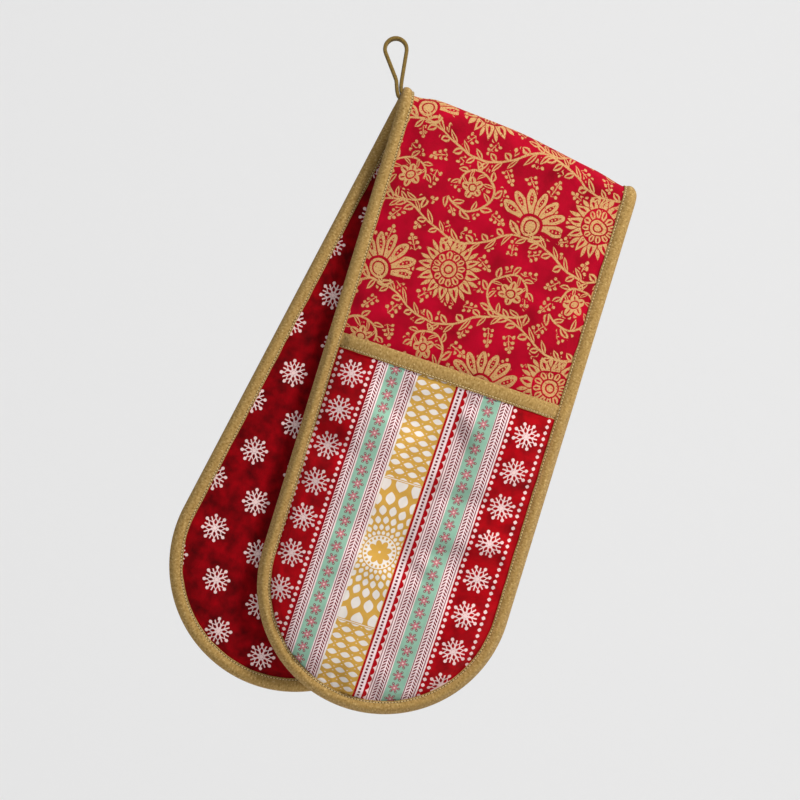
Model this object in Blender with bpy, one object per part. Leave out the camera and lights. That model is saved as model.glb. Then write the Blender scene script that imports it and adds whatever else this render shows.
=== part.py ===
"""Double oven glove: one long padded strip, folded in half and hanging by its loop.

Each half carries a padded hand pocket at its toe, on the outer face. The strip is outer
fabric, wadding and backing fabric, held all round by a binding. It folds along three narrow
segments, each turning by an equal step, so the two halves can be lifted apart until flat.

World frame: the loop's inner top, where a hook bears, is the origin. +Z is up, -Y is the
front, and X runs to the right as seen from the front.
"""
import math

import bmesh
import bpy
import numpy as np
from mathutils import Matrix, Vector

MM = 0.001

# The strip, measured over its outer face
STRIP_LENGTH = 866 * MM
STRIP_WIDTH = 180 * MM
FOLD_OFFSET = 6 * MM  # from the strip's middle to the fold, which leaves the rear half longer
FOLD_RADIUS = 12 * MM  # from the fold's axis to the outer face

# The layers, and how they thin towards the binding
FABRIC = 0.6 * MM
WADDING = 6.6 * MM
WADDING_AT_EDGE = 2 * MM
CROWN_WIDTH = 24 * MM
SEAT_GAP = 0.3 * MM

# The binding round the strip's edge
BINDING_WIDTH = 10 * MM
BINDING_WALL = 0.9 * MM

# The pockets
POCKET_DEPTH = 250 * MM  # toe of the strip to the top of the mouth binding
POCKET_WADDING = 3 * MM
POCKET_WADDING_AT_EDGE = 1.2 * MM
MOUTH_LIFT = 10 * MM  # how far the middle of the mouth stands off the strip
MOUTH_SIDE_LIFT = 1.5 * MM
MOUTH_BINDING_WIDTH = 10.5 * MM
MOUTH_BINDING_WALL = 0.9 * MM

# The hanging loop, a folded tape
LOOP_DROP = 40 * MM  # from the hook to the sewn root
LOOP_EYE_RADIUS = 7 * MM
LOOP_TAPE = 1.5 * MM
LOOP_TAPE_WIDTH = 8 * MM
LOOP_SEWN_LENGTH = 5 * MM
LOOP_EYE_TIP_RADIUS = 0.4 * MM

# Angles
FOLD_TILT = math.radians(22.35)  # the fold's slope while the glove hangs
FOLD_SKEW = math.radians(5.35)  # the fold's turn from square across the strip
MOUTH_SLANT = math.radians(1.75)
SHARP_ANGLE = math.radians(35)  # edges bent further than this stay sharp in shading

# Counts and shares
FOLD_SEGMENTS = 3
TOE_STEPS = 14
ROUND_STEPS = 6
EYE_STEPS = 20
SIDE_SHARES = (1.0, 0.66, 0.33)
CROWN_SHARES = (0.0, 0.34, 0.67, 1.0)
WIDE_RING_SHARE = 0.45
MOUTH_CROWN_SHARES = (0.3, 0.65, 1.0)
MERGE_SHARE = 0.05  # of the seat gap, within which doubled points are one
ARCH_POWER = 4  # how flat the open mouth stays before it falls to its sides

# Worked out from the sizes above
HALF_WIDTH = STRIP_WIDTH / 2
PACK_AT_EDGE = 2 * FABRIC + 2 * SEAT_GAP + WADDING_AT_EDGE
BINDING_RADIUS = PACK_AT_EDGE / 2 + SEAT_GAP + BINDING_WALL
MID_RADIUS = FOLD_RADIUS - (WADDING / 2 + SEAT_GAP + FABRIC)
FOLD_STEP = math.pi / (FOLD_SEGMENTS + 1)
MITRE = math.tan(FOLD_STEP / 2)
SEGMENT_CHORD = 2 * FOLD_RADIUS * MITRE
SKEW_SLOPE = math.tan(FOLD_SKEW)
HALF_SHIFT = (FOLD_SEGMENTS / 2 * SEGMENT_CHORD + FOLD_RADIUS * MITRE) * SKEW_SLOPE
POCKET_INSET = BINDING_WIDTH + SEAT_GAP
POCKET_HALF_WIDTH = HALF_WIDTH - POCKET_INSET
POCKET_PACK = 2 * FABRIC + 2 * SEAT_GAP + POCKET_WADDING_AT_EDGE
MOUTH_RADIUS = POCKET_PACK / 2 + SEAT_GAP + MOUTH_BINDING_WALL

# Directions, and the places that the frames stand on
ACROSS_FOLD = Vector((math.cos(FOLD_TILT), 0, -math.sin(FOLD_TILT)))
DOWN = Vector((-math.sin(FOLD_TILT), 0, -math.cos(FOLD_TILT)))
BACK = Vector((0, 1, 0))
LOOP_ROOT = Vector((0, 0, -LOOP_DROP))
FOLD_END = HALF_WIDTH / math.cos(FOLD_SKEW) + SEGMENT_CHORD * SKEW_SLOPE + SEAT_GAP + LOOP_TAPE
FOLD_CENTRE = LOOP_ROOT + ACROSS_FOLD * FOLD_END + DOWN * MID_RADIUS

# Each material: its colour, as linear red, green and blue, and its roughness
MATERIALS = {
    "outer_print": ((0.46, 0.01, 0.04), 0.75),
    "backing_print": ((0.33, 0.01, 0.02), 0.85),
    "pocket_print": ((0.62, 0.40, 0.34), 0.8),
    "lining": ((0.80, 0.74, 0.62), 0.9),
    "wadding": ((0.85, 0.83, 0.78), 1.0),
    "binding": ((0.42, 0.28, 0.10), 0.7),
    "loop_tape": ((0.36, 0.25, 0.08), 0.75),
}


def clear_scene():
    for item in list(bpy.data.objects):
        bpy.data.objects.remove(item, do_unlink=True)


def make_materials():
    made = {}
    for name, (colour, roughness) in MATERIALS.items():
        material = bpy.data.materials.new(name)
        material.use_nodes = True
        shader = material.node_tree.nodes["Principled BSDF"]
        shader.inputs["Base Color"].default_value = (*colour, 1)
        shader.inputs["Roughness"].default_value = roughness
        shader.inputs["Metallic"].default_value = 0
        made[name] = material
    return made


def frame(origin, across, outward):
    """A matrix with X across the strip, Z outward from its face and Y along it."""
    along = outward.cross(across)
    matrix = Matrix((across, along, outward)).transposed().to_4x4()
    matrix.translation = origin
    return matrix


class Assembly:
    """The glove's collection, its bodies as empties on their hinge lines, and their pieces."""

    def __init__(self, name):
        self.collection = bpy.data.collections.new(name)
        bpy.context.scene.collection.children.link(self.collection)
        self.materials = make_materials()
        self.places = {}

    def add_body(self, name, place, parent=None):
        """An empty whose X axis is the body's hinge line."""
        empty = bpy.data.objects.new(name, None)
        empty.empty_display_size = BINDING_WIDTH
        self.collection.objects.link(empty)
        self.places[name] = (empty, place)
        self.hang(empty, place, parent)

    def hang(self, item, place, parent):
        if parent is None:
            item.matrix_basis = place
            return
        holder, holder_place = self.places[parent]
        item.parent = holder
        item.matrix_basis = holder_place.inverted() @ place

    def add_piece(self, name, data, material, place, body):
        piece = bpy.data.objects.new(name, data)
        piece.data.materials.append(self.materials[material])
        self.collection.objects.link(piece)
        self.hang(piece, place, body)
        return piece


def mesh_from(name, points, faces):
    """A closed mesh: doubled points are merged, and every face is turned outward."""
    shape = bmesh.new()
    verts = [shape.verts.new(point) for point in points]
    for face in faces:
        shape.faces.new([verts[corner] for corner in face])
    bmesh.ops.remove_doubles(shape, verts=shape.verts, dist=SEAT_GAP * MERGE_SHARE)
    bmesh.ops.recalc_face_normals(shape, faces=shape.faces)
    mesh = bpy.data.meshes.new(name)
    shape.to_mesh(mesh)
    shape.free()
    mesh.shade_smooth()
    mesh.set_sharp_from_angle(angle=SHARP_ANGLE)
    return mesh


def grid_faces(index):
    """The quads of a grid of point numbers."""
    corners = (index[:-1, :-1], index[1:, :-1], index[1:, 1:], index[:-1, 1:])
    return np.stack(corners, axis=-1).reshape(-1, 4)


def loft(name, sections):
    """A solid through closed sections of as many points each, with flat ends."""
    count, size = sections.shape[:2]
    index = np.arange(count * size).reshape(count, size)
    around = np.concatenate([index, index[:, :1]], axis=1)
    faces = grid_faces(around).tolist() + [index[0].tolist(), index[-1].tolist()]
    return mesh_from(name, sections.reshape(-1, 3).tolist(), faces)


def slab(name, lower, upper):
    """A solid between two sheets of points, whose last columns close on the strip's axis."""
    rows, columns = lower.shape[:2]
    top = np.arange(rows * columns).reshape(rows, columns)
    bottom = top + rows * columns
    faces = grid_faces(top).tolist() + grid_faces(bottom).tolist()
    for edge in (np.s_[:, 0], np.s_[0, :], np.s_[-1, :]):
        faces += grid_faces(np.stack([top[edge], bottom[edge]], axis=1)).tolist()
    points = np.concatenate([upper.reshape(-1, 3), lower.reshape(-1, 3)])
    return mesh_from(name, points.tolist(), faces)


def smooth(share):
    """An even rise from 0 to 1."""
    share = np.clip(share, 0, 1)
    return share * share * (3 - 2 * share)


def wadding_half(inset):
    """Half the strip's wadding, which swells from the binding inward."""
    crown = smooth((inset - BINDING_WIDTH) / CROWN_WIDTH)
    return (WADDING_AT_EDGE + (WADDING - WADDING_AT_EDGE) * crown) / 2


def strip_layers(inset):
    """Each layer of the strip, as its lower and upper height over the strip's middle."""
    core = wadding_half(inset)
    fabric = core + SEAT_GAP
    return {
        "outer_fabric": (fabric, fabric + FABRIC),
        "wadding": (-core, core),
        "backing": (-fabric - FABRIC, -fabric),
    }


LAYER_MATERIALS = {"outer_fabric": "outer_print", "wadding": "wadding", "backing": "backing_print"}
POCKET_MATERIALS = {"lining": "lining", "wadding": "wadding", "fabric": "pocket_print"}


def strip_insets(start):
    """Distances in from the strip's edge, from the start to the strip's axis."""
    crown = [BINDING_WIDTH + CROWN_WIDTH * share for share in CROWN_SHARES]
    full = crown[-1] + (HALF_WIDTH - crown[-1]) * WIDE_RING_SHARE
    inner = [inset for inset in crown + [full] if inset > start]
    return np.array([start] + inner + [HALF_WIDTH])


def edge_path(side_shares):
    """The way round a half's edge: down one side, round the toe and up the other.

    Gives each station's angle round the toe's centre, and its share of the straight side.
    """
    shares = np.array(side_shares)
    toe = np.linspace(math.pi, 2 * math.pi, TOE_STEPS + 1)
    angle = np.concatenate([np.full(len(shares), math.pi), toe, np.full(len(shares), 2 * math.pi)])
    share = np.concatenate([shares, np.zeros(len(toe)), shares[::-1]])
    return angle, share


def fold_reach(height):
    """From the fold's axis up to where a layer at this height meets the next segment."""
    return (MID_RADIUS + height) * MITRE - SEAT_GAP / 2


def half_top(across, height):
    """Where a half ends, mitred against the first fold segment."""
    return fold_reach(height) / math.cos(FOLD_SKEW) - across * SKEW_SLOPE


def half_points(path, inset, height, toe_centre, top):
    """Points of a half in its own frame, by station along its edge, inset and height."""
    angle, share = path
    reach = HALF_WIDTH - inset
    x = reach * np.cos(angle)
    y = toe_centre + reach * np.sin(angle) + share * (top(x, height) - toe_centre)
    return np.stack(np.broadcast_arrays(x, y, height), axis=-1)


def channel(width, radius, wall):
    """A binding's section: (inset, height) points of a folded tape, open at its inner side."""
    turn = np.linspace(math.pi / 2, 3 * math.pi / 2, ROUND_STEPS + 1)
    outer = np.stack([radius + radius * np.cos(turn), radius * np.sin(turn)], axis=1)
    inner_radius = radius - wall
    inner = np.stack([radius + inner_radius * np.cos(turn), inner_radius * np.sin(turn)], axis=1)
    lips = np.array([[width, radius], [width, -radius], [width, -inner_radius], [width, inner_radius]])
    return np.concatenate([lips[:1], outer, lips[1:3], inner[::-1], lips[3:]])


EDGE_CHANNEL = channel(BINDING_WIDTH, BINDING_RADIUS, BINDING_WALL)


def add_half(glove, name, toe_centre, place):
    """One half of the strip: its three layers and the binding round its edge."""
    angle, share = edge_path(SIDE_SHARES)
    path = (angle[:, None], share[:, None])
    inset = strip_insets(BINDING_RADIUS)[None, :]
    for layer, (low, high) in strip_layers(inset).items():
        lower = half_points(path, inset, low, toe_centre, half_top)
        upper = half_points(path, inset, high, toe_centre, half_top)
        node = f"{name}_{layer}"
        glove.add_piece(node, slab(node, lower, upper), LAYER_MATERIALS[layer], place, f"{name}_half")
    sections = half_points(path, EDGE_CHANNEL[None, :, 0], EDGE_CHANNEL[None, :, 1], toe_centre, half_top)
    node = f"{name}_edge_binding"
    glove.add_piece(node, loft(node, sections), "binding", place, f"{name}_half")


def pocket_floor(x, y, inset, toe):
    """The pocket's inner face: it lies on the strip at the toe and arches open at the mouth."""
    strip_face = wadding_half(inset) + SEAT_GAP + FABRIC + SEAT_GAP
    arch = 1 - (x / POCKET_HALF_WIDTH) ** ARCH_POWER
    lift = MOUTH_SIDE_LIFT + (MOUTH_LIFT - MOUTH_SIDE_LIFT) * arch
    return strip_face + lift * (y - toe) / POCKET_DEPTH


def add_pocket(glove, name, toe_centre, place):
    """A pocket: lining, wadding and printed fabric, and the binding along its mouth."""
    toe = toe_centre - POCKET_HALF_WIDTH
    mouth = toe_centre - HALF_WIDTH + POCKET_DEPTH

    def mouth_line(x):
        return mouth - x * math.tan(MOUTH_SLANT)

    def layer_top(x, height):
        return mouth_line(x) - MOUTH_RADIUS

    side = mouth - MOUTH_RADIUS - toe_centre
    below = [MOUTH_BINDING_WIDTH - MOUTH_RADIUS + CROWN_WIDTH * share for share in MOUTH_CROWN_SHARES]
    rows = [1.0, 1 - (MOUTH_BINDING_WIDTH - MOUTH_RADIUS) / side]
    rows += [1 - distance / side for distance in below]
    rows += [rows[-1] / 2]
    angle, share = edge_path(rows)
    path = (angle[:, None], share[:, None])
    inset = strip_insets(POCKET_INSET)[None, :]
    level = np.zeros_like(inset)
    x, y, _ = np.moveaxis(half_points(path, inset, level, toe_centre, layer_top), -1, 0)
    from_side = inset - BINDING_WIDTH
    from_mouth = mouth_line(x) - MOUTH_BINDING_WIDTH - y
    crown = np.minimum(smooth(from_side / CROWN_WIDTH), smooth(from_mouth / CROWN_WIDTH))
    core = POCKET_WADDING_AT_EDGE + (POCKET_WADDING - POCKET_WADDING_AT_EDGE) * crown
    height = pocket_floor(x, y, inset, toe)
    thicknesses = {"lining": FABRIC, "wadding": core, "fabric": FABRIC}
    for layer, thickness in thicknesses.items():
        lower = np.stack([x, y, height], axis=-1)
        upper = np.stack([x, y, height + thickness], axis=-1)
        node = f"{name}_pocket_{layer}"
        glove.add_piece(node, slab(node, lower, upper), POCKET_MATERIALS[layer], place, f"{name}_pocket")
        height = height + thickness + SEAT_GAP

    section = channel(MOUTH_BINDING_WIDTH, MOUTH_RADIUS, MOUTH_BINDING_WALL)
    station = HALF_WIDTH - strip_insets(POCKET_INSET)
    station = np.concatenate([-station, station[-2::-1]])[:, None]
    x = np.broadcast_to(station, (len(station), len(section)))
    y = mouth_line(x) - section[None, :, 0]
    middle = pocket_floor(x, y, HALF_WIDTH - np.abs(x), toe) + POCKET_PACK / 2
    sections = np.stack([x, y, middle + section[None, :, 1]], axis=-1)
    node = f"{name}_pocket_mouth_binding"
    glove.add_piece(node, loft(node, sections), "binding", place, f"{name}_pocket")


def segment_points(x, y, height, centre):
    """Points of a fold segment: the strip runs askew over the fold, so X shifts along it."""
    shifted = x / math.cos(FOLD_SKEW) + (centre - y) * SKEW_SLOPE
    return np.stack(np.broadcast_arrays(shifted, y, height), axis=-1)


def add_segment(glove, name, turn, place):
    """One fold segment: three wedge-shaped layers and a piece of binding at each end."""
    centre = (math.pi / 2 - turn) / FOLD_STEP * SEGMENT_CHORD
    station = HALF_WIDTH - strip_insets(BINDING_RADIUS)
    x = np.concatenate([-station, station[-2::-1]])[:, None]
    for layer, (low, high) in strip_layers(HALF_WIDTH - np.abs(x)).items():
        height = np.concatenate([low, low, high, high], axis=1)
        side = np.array([[-1, 1, 1, -1]])
        sections = segment_points(x, side * fold_reach(height), height, centre)
        node = f"{name}_{layer}"
        glove.add_piece(node, loft(node, sections), LAYER_MATERIALS[layer], place, name)
    for end, hand in (("left", -1), ("right", 1)):
        x = hand * (HALF_WIDTH - EDGE_CHANNEL[None, :, 0])
        height = EDGE_CHANNEL[None, :, 1]
        side = np.array([[-1], [1]])
        sections = segment_points(x, side * fold_reach(height), height, centre)
        node = f"{name}_{end}_binding"
        glove.add_piece(node, loft(node, sections), "binding", place, name)


def teardrop(top_radius, tip_centre, tip_radius):
    """A round top hanging from the height zero of its circle, drawn to a small round tip."""
    top_centre = -LOOP_EYE_RADIUS
    lean = math.asin((top_radius - tip_radius) / (top_centre - tip_centre))
    over = np.linspace(-lean, math.pi + lean, EYE_STEPS + 1)
    under = np.linspace(math.pi + lean, 2 * math.pi - lean, ROUND_STEPS + 1)
    top = [(top_radius * math.cos(a), top_centre + top_radius * math.sin(a)) for a in over]
    tip = [(tip_radius * math.cos(a), tip_centre + tip_radius * math.sin(a)) for a in under]
    return top + tip


def add_loop(glove):
    """The hanging loop: a tape set on edge, bent round to its sewn root."""
    curve = bpy.data.curves.new("hang_loop", "CURVE")
    curve.dimensions = "2D"
    curve.fill_mode = "BOTH"
    curve.extrude = LOOP_TAPE_WIDTH / 2
    outer = teardrop(LOOP_EYE_RADIUS + LOOP_TAPE, LOOP_ROOT.z, LOOP_TAPE)
    eye = teardrop(LOOP_EYE_RADIUS, LOOP_ROOT.z + LOOP_SEWN_LENGTH, LOOP_EYE_TIP_RADIUS)
    for outline in (outer, eye):
        spline = curve.splines.new("POLY")
        spline.points.add(len(outline) - 1)
        for point, (x, y) in zip(spline.points, outline):
            point.co = (x, y, 0, 1)
        spline.use_cyclic_u = True
    upright = Matrix.Rotation(math.pi / 2, 4, "X")
    glove.add_piece("hang_loop", curve, "loop_tape", upright, "loop")


def hinge_place(turn, hand):
    """A frame on the fold's outer face between two segments, with X along the hinge line."""
    outward = -BACK * math.cos(turn) - DOWN * math.sin(turn)
    corner = FOLD_CENTRE + outward * (FOLD_RADIUS / math.cos(FOLD_STEP / 2))
    return frame(corner, ACROSS_FOLD * hand, outward)


def half_place(hand):
    """The frame of the front half (hand 1) or the rear half (hand -1) on the fold's axis."""
    lean = FOLD_TILT - hand * FOLD_SKEW
    across = Vector((math.cos(lean), 0, -math.sin(lean))) * hand
    outward = -BACK * hand
    origin = FOLD_CENTRE + outward * MID_RADIUS + ACROSS_FOLD * (HALF_SHIFT * hand)
    return frame(origin, across, outward)


def build_glove():
    glove = Assembly("double_oven_glove")
    glove.add_body("loop", Matrix.Identity(4))
    add_loop(glove)
    swing = frame(LOOP_ROOT, BACK, Vector((0, 0, 1)))
    glove.add_body("fold_mid", swing, "loop")

    for name, hand in (("front", 1), ("rear", -1)):
        middle = math.pi / 2
        near = middle - hand * FOLD_STEP / 2
        far = middle - hand * FOLD_STEP * FOLD_SEGMENTS / 2
        glove.add_body(f"fold_{name}", hinge_place(near, -hand), "fold_mid")
        glove.add_body(f"{name}_half", hinge_place(far, -hand), f"fold_{name}")
        flat_length = STRIP_LENGTH / 2 - hand * FOLD_OFFSET - SEGMENT_CHORD * FOLD_SEGMENTS / 2
        toe = FOLD_RADIUS * MITRE / math.cos(FOLD_SKEW) - flat_length
        toe_centre = toe + HALF_WIDTH
        place = half_place(hand)
        add_half(glove, name, toe_centre, place)
        rise = PACK_AT_EDGE / 2 + SEAT_GAP + POCKET_PACK
        pivot = place @ Matrix.Translation((0, toe + POCKET_INSET, rise))
        glove.add_body(f"{name}_pocket", pivot, f"{name}_half")
        add_pocket(glove, name, toe_centre, place)

    for number, name in enumerate(("fold_front", "fold_mid", "fold_rear"), 1):
        turn = number * FOLD_STEP
        outward = -BACK * math.cos(turn) - DOWN * math.sin(turn)
        add_segment(glove, name, turn, frame(FOLD_CENTRE + outward * MID_RADIUS, ACROSS_FOLD, outward))


clear_scene()
build_glove()
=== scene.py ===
"""Double oven glove: the cloth, binding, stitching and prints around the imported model.

The glove is one strip, described in its own flat measure: x across it and y along it, both in
metres, with the front toe at low y and the rear toe at high y, and a height over the strip's
middle. on_strip() lays that measure over the fold. A half has a measure of its own, with its
toe at low y and the fold above it, which to_strip() turns into the strip's.
"""
import functools
import math

import bmesh
import bpy
import numpy as np
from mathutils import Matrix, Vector


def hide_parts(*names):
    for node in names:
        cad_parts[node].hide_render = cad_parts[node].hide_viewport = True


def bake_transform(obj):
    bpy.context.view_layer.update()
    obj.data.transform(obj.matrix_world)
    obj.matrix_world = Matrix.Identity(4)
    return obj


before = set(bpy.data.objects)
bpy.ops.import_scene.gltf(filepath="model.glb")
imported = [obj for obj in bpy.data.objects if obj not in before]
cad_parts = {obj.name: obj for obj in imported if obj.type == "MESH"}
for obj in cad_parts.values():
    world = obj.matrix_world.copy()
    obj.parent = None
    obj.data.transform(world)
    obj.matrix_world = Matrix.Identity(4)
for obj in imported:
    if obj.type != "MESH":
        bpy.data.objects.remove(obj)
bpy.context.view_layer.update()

MM = 0.001

# The strip and its fold, as the CAD has them
HALF_WIDTH = 90 * MM
FOLD_RADIUS = 12 * MM
MID_RADIUS = 7.8 * MM
FOLD_TILT = math.radians(22.35)
FOLD_SKEW = math.radians(5.35)
SKEW_COS = math.cos(FOLD_SKEW)
SKEW_SIN = math.sin(FOLD_SKEW)
SEGMENT = 2 * FOLD_RADIUS * math.tan(math.pi / 8)
FOLD_LENGTH = 4 * SEGMENT
FOLD_SHIFT = FOLD_LENGTH / 2 * math.tan(FOLD_SKEW)
ACROSS = np.array([math.cos(FOLD_TILT), 0, -math.sin(FOLD_TILT)])
UP = np.array([math.sin(FOLD_TILT), 0, math.cos(FOLD_TILT)])
BACK = np.array([0, 1, 0])
LOOP_ROOT = np.array([0, 0, -40 * MM])
FOLD_END = HALF_WIDTH / SKEW_COS + SEGMENT * math.tan(FOLD_SKEW) + 1.8 * MM
FOLD_CENTRE = LOOP_ROOT + ACROSS * FOLD_END - UP * MID_RADIUS
TOE_CENTRE = {"front": -317.096 * MM, "rear": -329.096 * MM}
CREST_RISE = 5.2 * MM  # how far the padding stands up over the left of the fold
CREST_END = 70 * MM
CREST_FADE = 80 * MM
CREST_FULL = 3 * MM  # the height over the strip's middle from which it stands up in full
FOLD_START = {"fold_front": SEGMENT, "fold_rear": 2 * SEGMENT}
SIDES = {-1: "left", 1: "right"}

# The layers
FABRIC = 0.6 * MM
SEAT = 0.3 * MM
WADDING_EDGE = 1.0 * MM
WADDING_CROWN = 3.3 * MM
BINDING_WIDTH = 10 * MM
CROWN_WIDTH = 24 * MM
TUCK = 5 * MM  # inset of a cover's hidden edge, inside the binding
WADDING_TUCK = 4 * MM
PLAY = 0.1 * MM  # between the wadding and the cloth on it

# The pockets
POCKET_DEPTH = 250 * MM
POCKET_HALF = 79.7 * MM
POCKET_TUCK = 8.6 * MM
POCKET_REACH = HALF_WIDTH - POCKET_TUCK
POCKET_SIDE = 80 * MM  # about where its side seam lies
POCKET_LENGTH = 240 * MM  # of its cloth, without the mouth binding
POCKET_TOP = 2.2 * MM  # how far down inside the mouth binding its cloth ends
POCKET_TOE = 125 * MM  # the lengths that its rows are counted from: round the toe,
POCKET_STRAIGHT = 160 * MM  # and from there to the mouth
MOUTH_SLANT = math.tan(math.radians(1.75))
MOUTH_BAND = 10.5 * MM
MOUTH_LIFT = 10 * MM
MOUTH_SIDE_LIFT = 1.5 * MM
MOUTH_HANG = 4 * MM  # how far over its top edge the pocket starts to press on the strip
POCKET_SEAM = 5.5 * MM  # where the left and right pieces of a pocket meet
LIP_RISE = 2.1 * MM  # how far the edge binding is lifted by the pocket under it

# Stitching
STITCH_INSET = 8.9 * MM
STITCH_PITCH = 2.2 * MM
STITCH_LENGTH = 1.6 * MM
STITCH_WIDTH = 0.55 * MM
STITCH_LEVEL = 2.85 * MM  # over the strip's middle
STITCH_AHEAD = 0.3 * MM  # how far on the seam's direction is taken


def smooth(share):
    """An even rise from 0 to 1."""
    share = np.clip(share, 0, 1)
    return share * share * (3 - 2 * share)


def rise(value, width, start=0):
    """The same rise over a width past a start, both in millimetres."""
    return smooth((value - start * MM) / (width * MM))


NOISE_PERIOD = 97


def noise(u, v, seed):
    """Smooth random heights from -1 to 1: one at each whole number, with even rises between."""
    heights = np.random.RandomState(seed).uniform(-1, 1, (NOISE_PERIOD, NOISE_PERIOD))
    u, v = np.broadcast_arrays(u, v)
    low_u, low_v = np.floor(u).astype(int), np.floor(v).astype(int)
    share_u, share_v = smooth(u - low_u), smooth(v - low_v)
    near, far = low_u % NOISE_PERIOD, (low_u + 1) % NOISE_PERIOD
    below, above = low_v % NOISE_PERIOD, (low_v + 1) % NOISE_PERIOD
    lower = heights[near, below] * (1 - share_u) + heights[far, below] * share_u
    upper = heights[near, above] * (1 - share_u) + heights[far, above] * share_u
    return lower * (1 - share_v) + upper * share_v


def over_fold(x, y):
    """How far over the fold a place lies, square to the fold's axis."""
    return x * SKEW_SIN + y * SKEW_COS


def y_over(over, x):
    """The y at which a line along the strip has come that far over the fold."""
    return (over - x * SKEW_SIN) / SKEW_COS


def on_strip(x, y, height):
    """A place on the strip, in the world.

    The strip runs askew over the fold: along = x cos - y sin is its way along the fold's axis,
    over = x sin + y cos its way over it. Over is straight down the front below 0 and down the
    rear past FOLD_LENGTH, and between them it turns evenly through half a circle. Over the left
    of the fold the outer side swells straight up, as the sine of the turn, out to CREST_RISE.
    """
    x, y, height = np.broadcast_arrays(x, y, height)
    along = x * SKEW_COS - y * SKEW_SIN + FOLD_SHIFT
    over = over_fold(x, y)
    turn = np.clip(over / FOLD_LENGTH, 0, 1) * math.pi
    radius = MID_RADIUS + height
    swell = smooth((CREST_END - along) / CREST_FADE) * np.clip(height / CREST_FULL, 0, 1)
    swell = CREST_RISE * swell
    hang = np.minimum(over, 0) + np.minimum(FOLD_LENGTH - over, 0)
    lift = (radius + swell * UP[2]) * np.sin(turn) + hang
    along = along - swell * UP[0] * np.sin(turn) ** 2
    depth = -radius * np.cos(turn)
    return FOLD_CENTRE + along[..., None] * ACROSS + lift[..., None] * UP + depth[..., None] * BACK


def to_strip(half, x, y):
    """A half's own place as the strip's: the rear half is the strip's far end, turned about."""
    if half == "front":
        return x, y
    return -x, FOLD_LENGTH / SKEW_COS - y


def on_half(half, x, y, height):
    """A place on a half, in the world."""
    return on_strip(*to_strip(half, x, y), height)


def inset_of(half, x, y):
    """How far a place lies in from the half's edge: straight sides and a half-round toe."""
    below = np.minimum(y - TOE_CENTRE[half], 0)
    return HALF_WIDTH - np.hypot(x, below)


def edge_way(half, x, y):
    """The way round the edge: down the left side below 0, round the toe, up the right side."""
    centre = TOE_CENTRE[half]
    round_toe = np.mod(np.arctan2(np.minimum(y - centre, 0), x), 2 * math.pi)
    round_toe = np.where(x < 0, np.maximum(round_toe, math.pi), round_toe)
    round_toe = np.where(round_toe < 1, 2 * math.pi, round_toe)
    up = np.maximum(y - centre, 0)
    return HALF_WIDTH * (round_toe - math.pi) + np.where(x < 0, -up, up)


def wadding_half(inset):
    """Half the strip's wadding, swelling evenly from the binding inward."""
    crown = smooth((inset - BINDING_WIDTH) / CROWN_WIDTH)
    return WADDING_EDGE + (WADDING_CROWN - WADDING_EDGE) * crown


def rounded(wide, steps, low, high):
    """Steps from low to high, with the last ones at both ends made fine for an even shading."""
    even = np.linspace(low, high, steps)
    fine = np.array([0.25, 0.75]) * MM * wide
    return np.unique(np.concatenate([even, low + fine, high - fine]))


# Meshes


def grid_quads(index):
    """The quads of a grid of point numbers."""
    corners = (index[:-1, :-1], index[1:, :-1], index[1:, 1:], index[:-1, 1:])
    return np.stack(corners, axis=-1).reshape(-1, 4)


def put_in_scene(name, data):
    """An object that holds the data, in the scene."""
    item = bpy.data.objects.new(name, data)
    bpy.context.scene.collection.objects.link(item)
    return item


def make_piece(name, points, faces, flat, material):
    """A mesh object from points, faces and each point's place in the flat cloth."""
    mesh = bpy.data.meshes.new(name)
    mesh.from_pydata(points.reshape(-1, 3).tolist(), [], faces)
    shape = bmesh.new()
    shape.from_mesh(mesh)
    bmesh.ops.recalc_face_normals(shape, faces=shape.faces)
    shape.to_mesh(mesh)
    shape.free()
    corner = np.empty(len(mesh.loops), np.int32)
    mesh.loops.foreach_get("vertex_index", corner)
    layer = mesh.uv_layers.new(name="cloth")
    flat = flat.reshape(-1, 2).astype(np.float32)
    layer.uv.foreach_set("vector", flat[corner].ravel())
    mesh.shade_smooth()
    mesh.set_sharp_from_angle(angle=math.radians(55))
    mesh.materials.append(MATERIALS[material])
    return put_in_scene(name, mesh)


def crossed(along, across):
    """Flat places: each of a row along the cloth with each of a row across it."""
    return np.stack(np.broadcast_arrays(along[:, None], across[None, :]), axis=-1)


def layer_piece(name, upper, lower, flat, material):
    """A closed layer between two grids of points, with a rim round all four sides."""
    rows, columns = upper.shape[:2]
    top = np.arange(rows * columns).reshape(rows, columns)
    ring = np.concatenate([top[0, :-1], top[:-1, -1], top[-1, :0:-1], top[:0:-1, 0], top[0, :1]])
    quads = [grid_quads(top), grid_quads(top + top.size)[:, ::-1]]
    quads.append(grid_quads(np.stack([ring, ring + top.size], axis=1)))
    faces = np.concatenate(quads).tolist()
    return make_piece(name, np.stack([upper, lower]), faces, np.stack([flat, flat]), material)


def swept_faces(count, size):
    """The faces of count closed sections of as many points each, with flat ends."""
    index = np.arange(count * size).reshape(count, size)
    around = np.concatenate([index, index[:, :1]], axis=1)
    return grid_quads(around).tolist() + [index[0].tolist(), index[-1].tolist()]


def swept_piece(name, sections, flat, material):
    """A closed solid through sections of as many points each."""
    count, size = sections.shape[:2]
    return make_piece(name, sections, swept_faces(count, size), flat, material)


# Which bodies a piece lies across, and where it turns from one to the other


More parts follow.
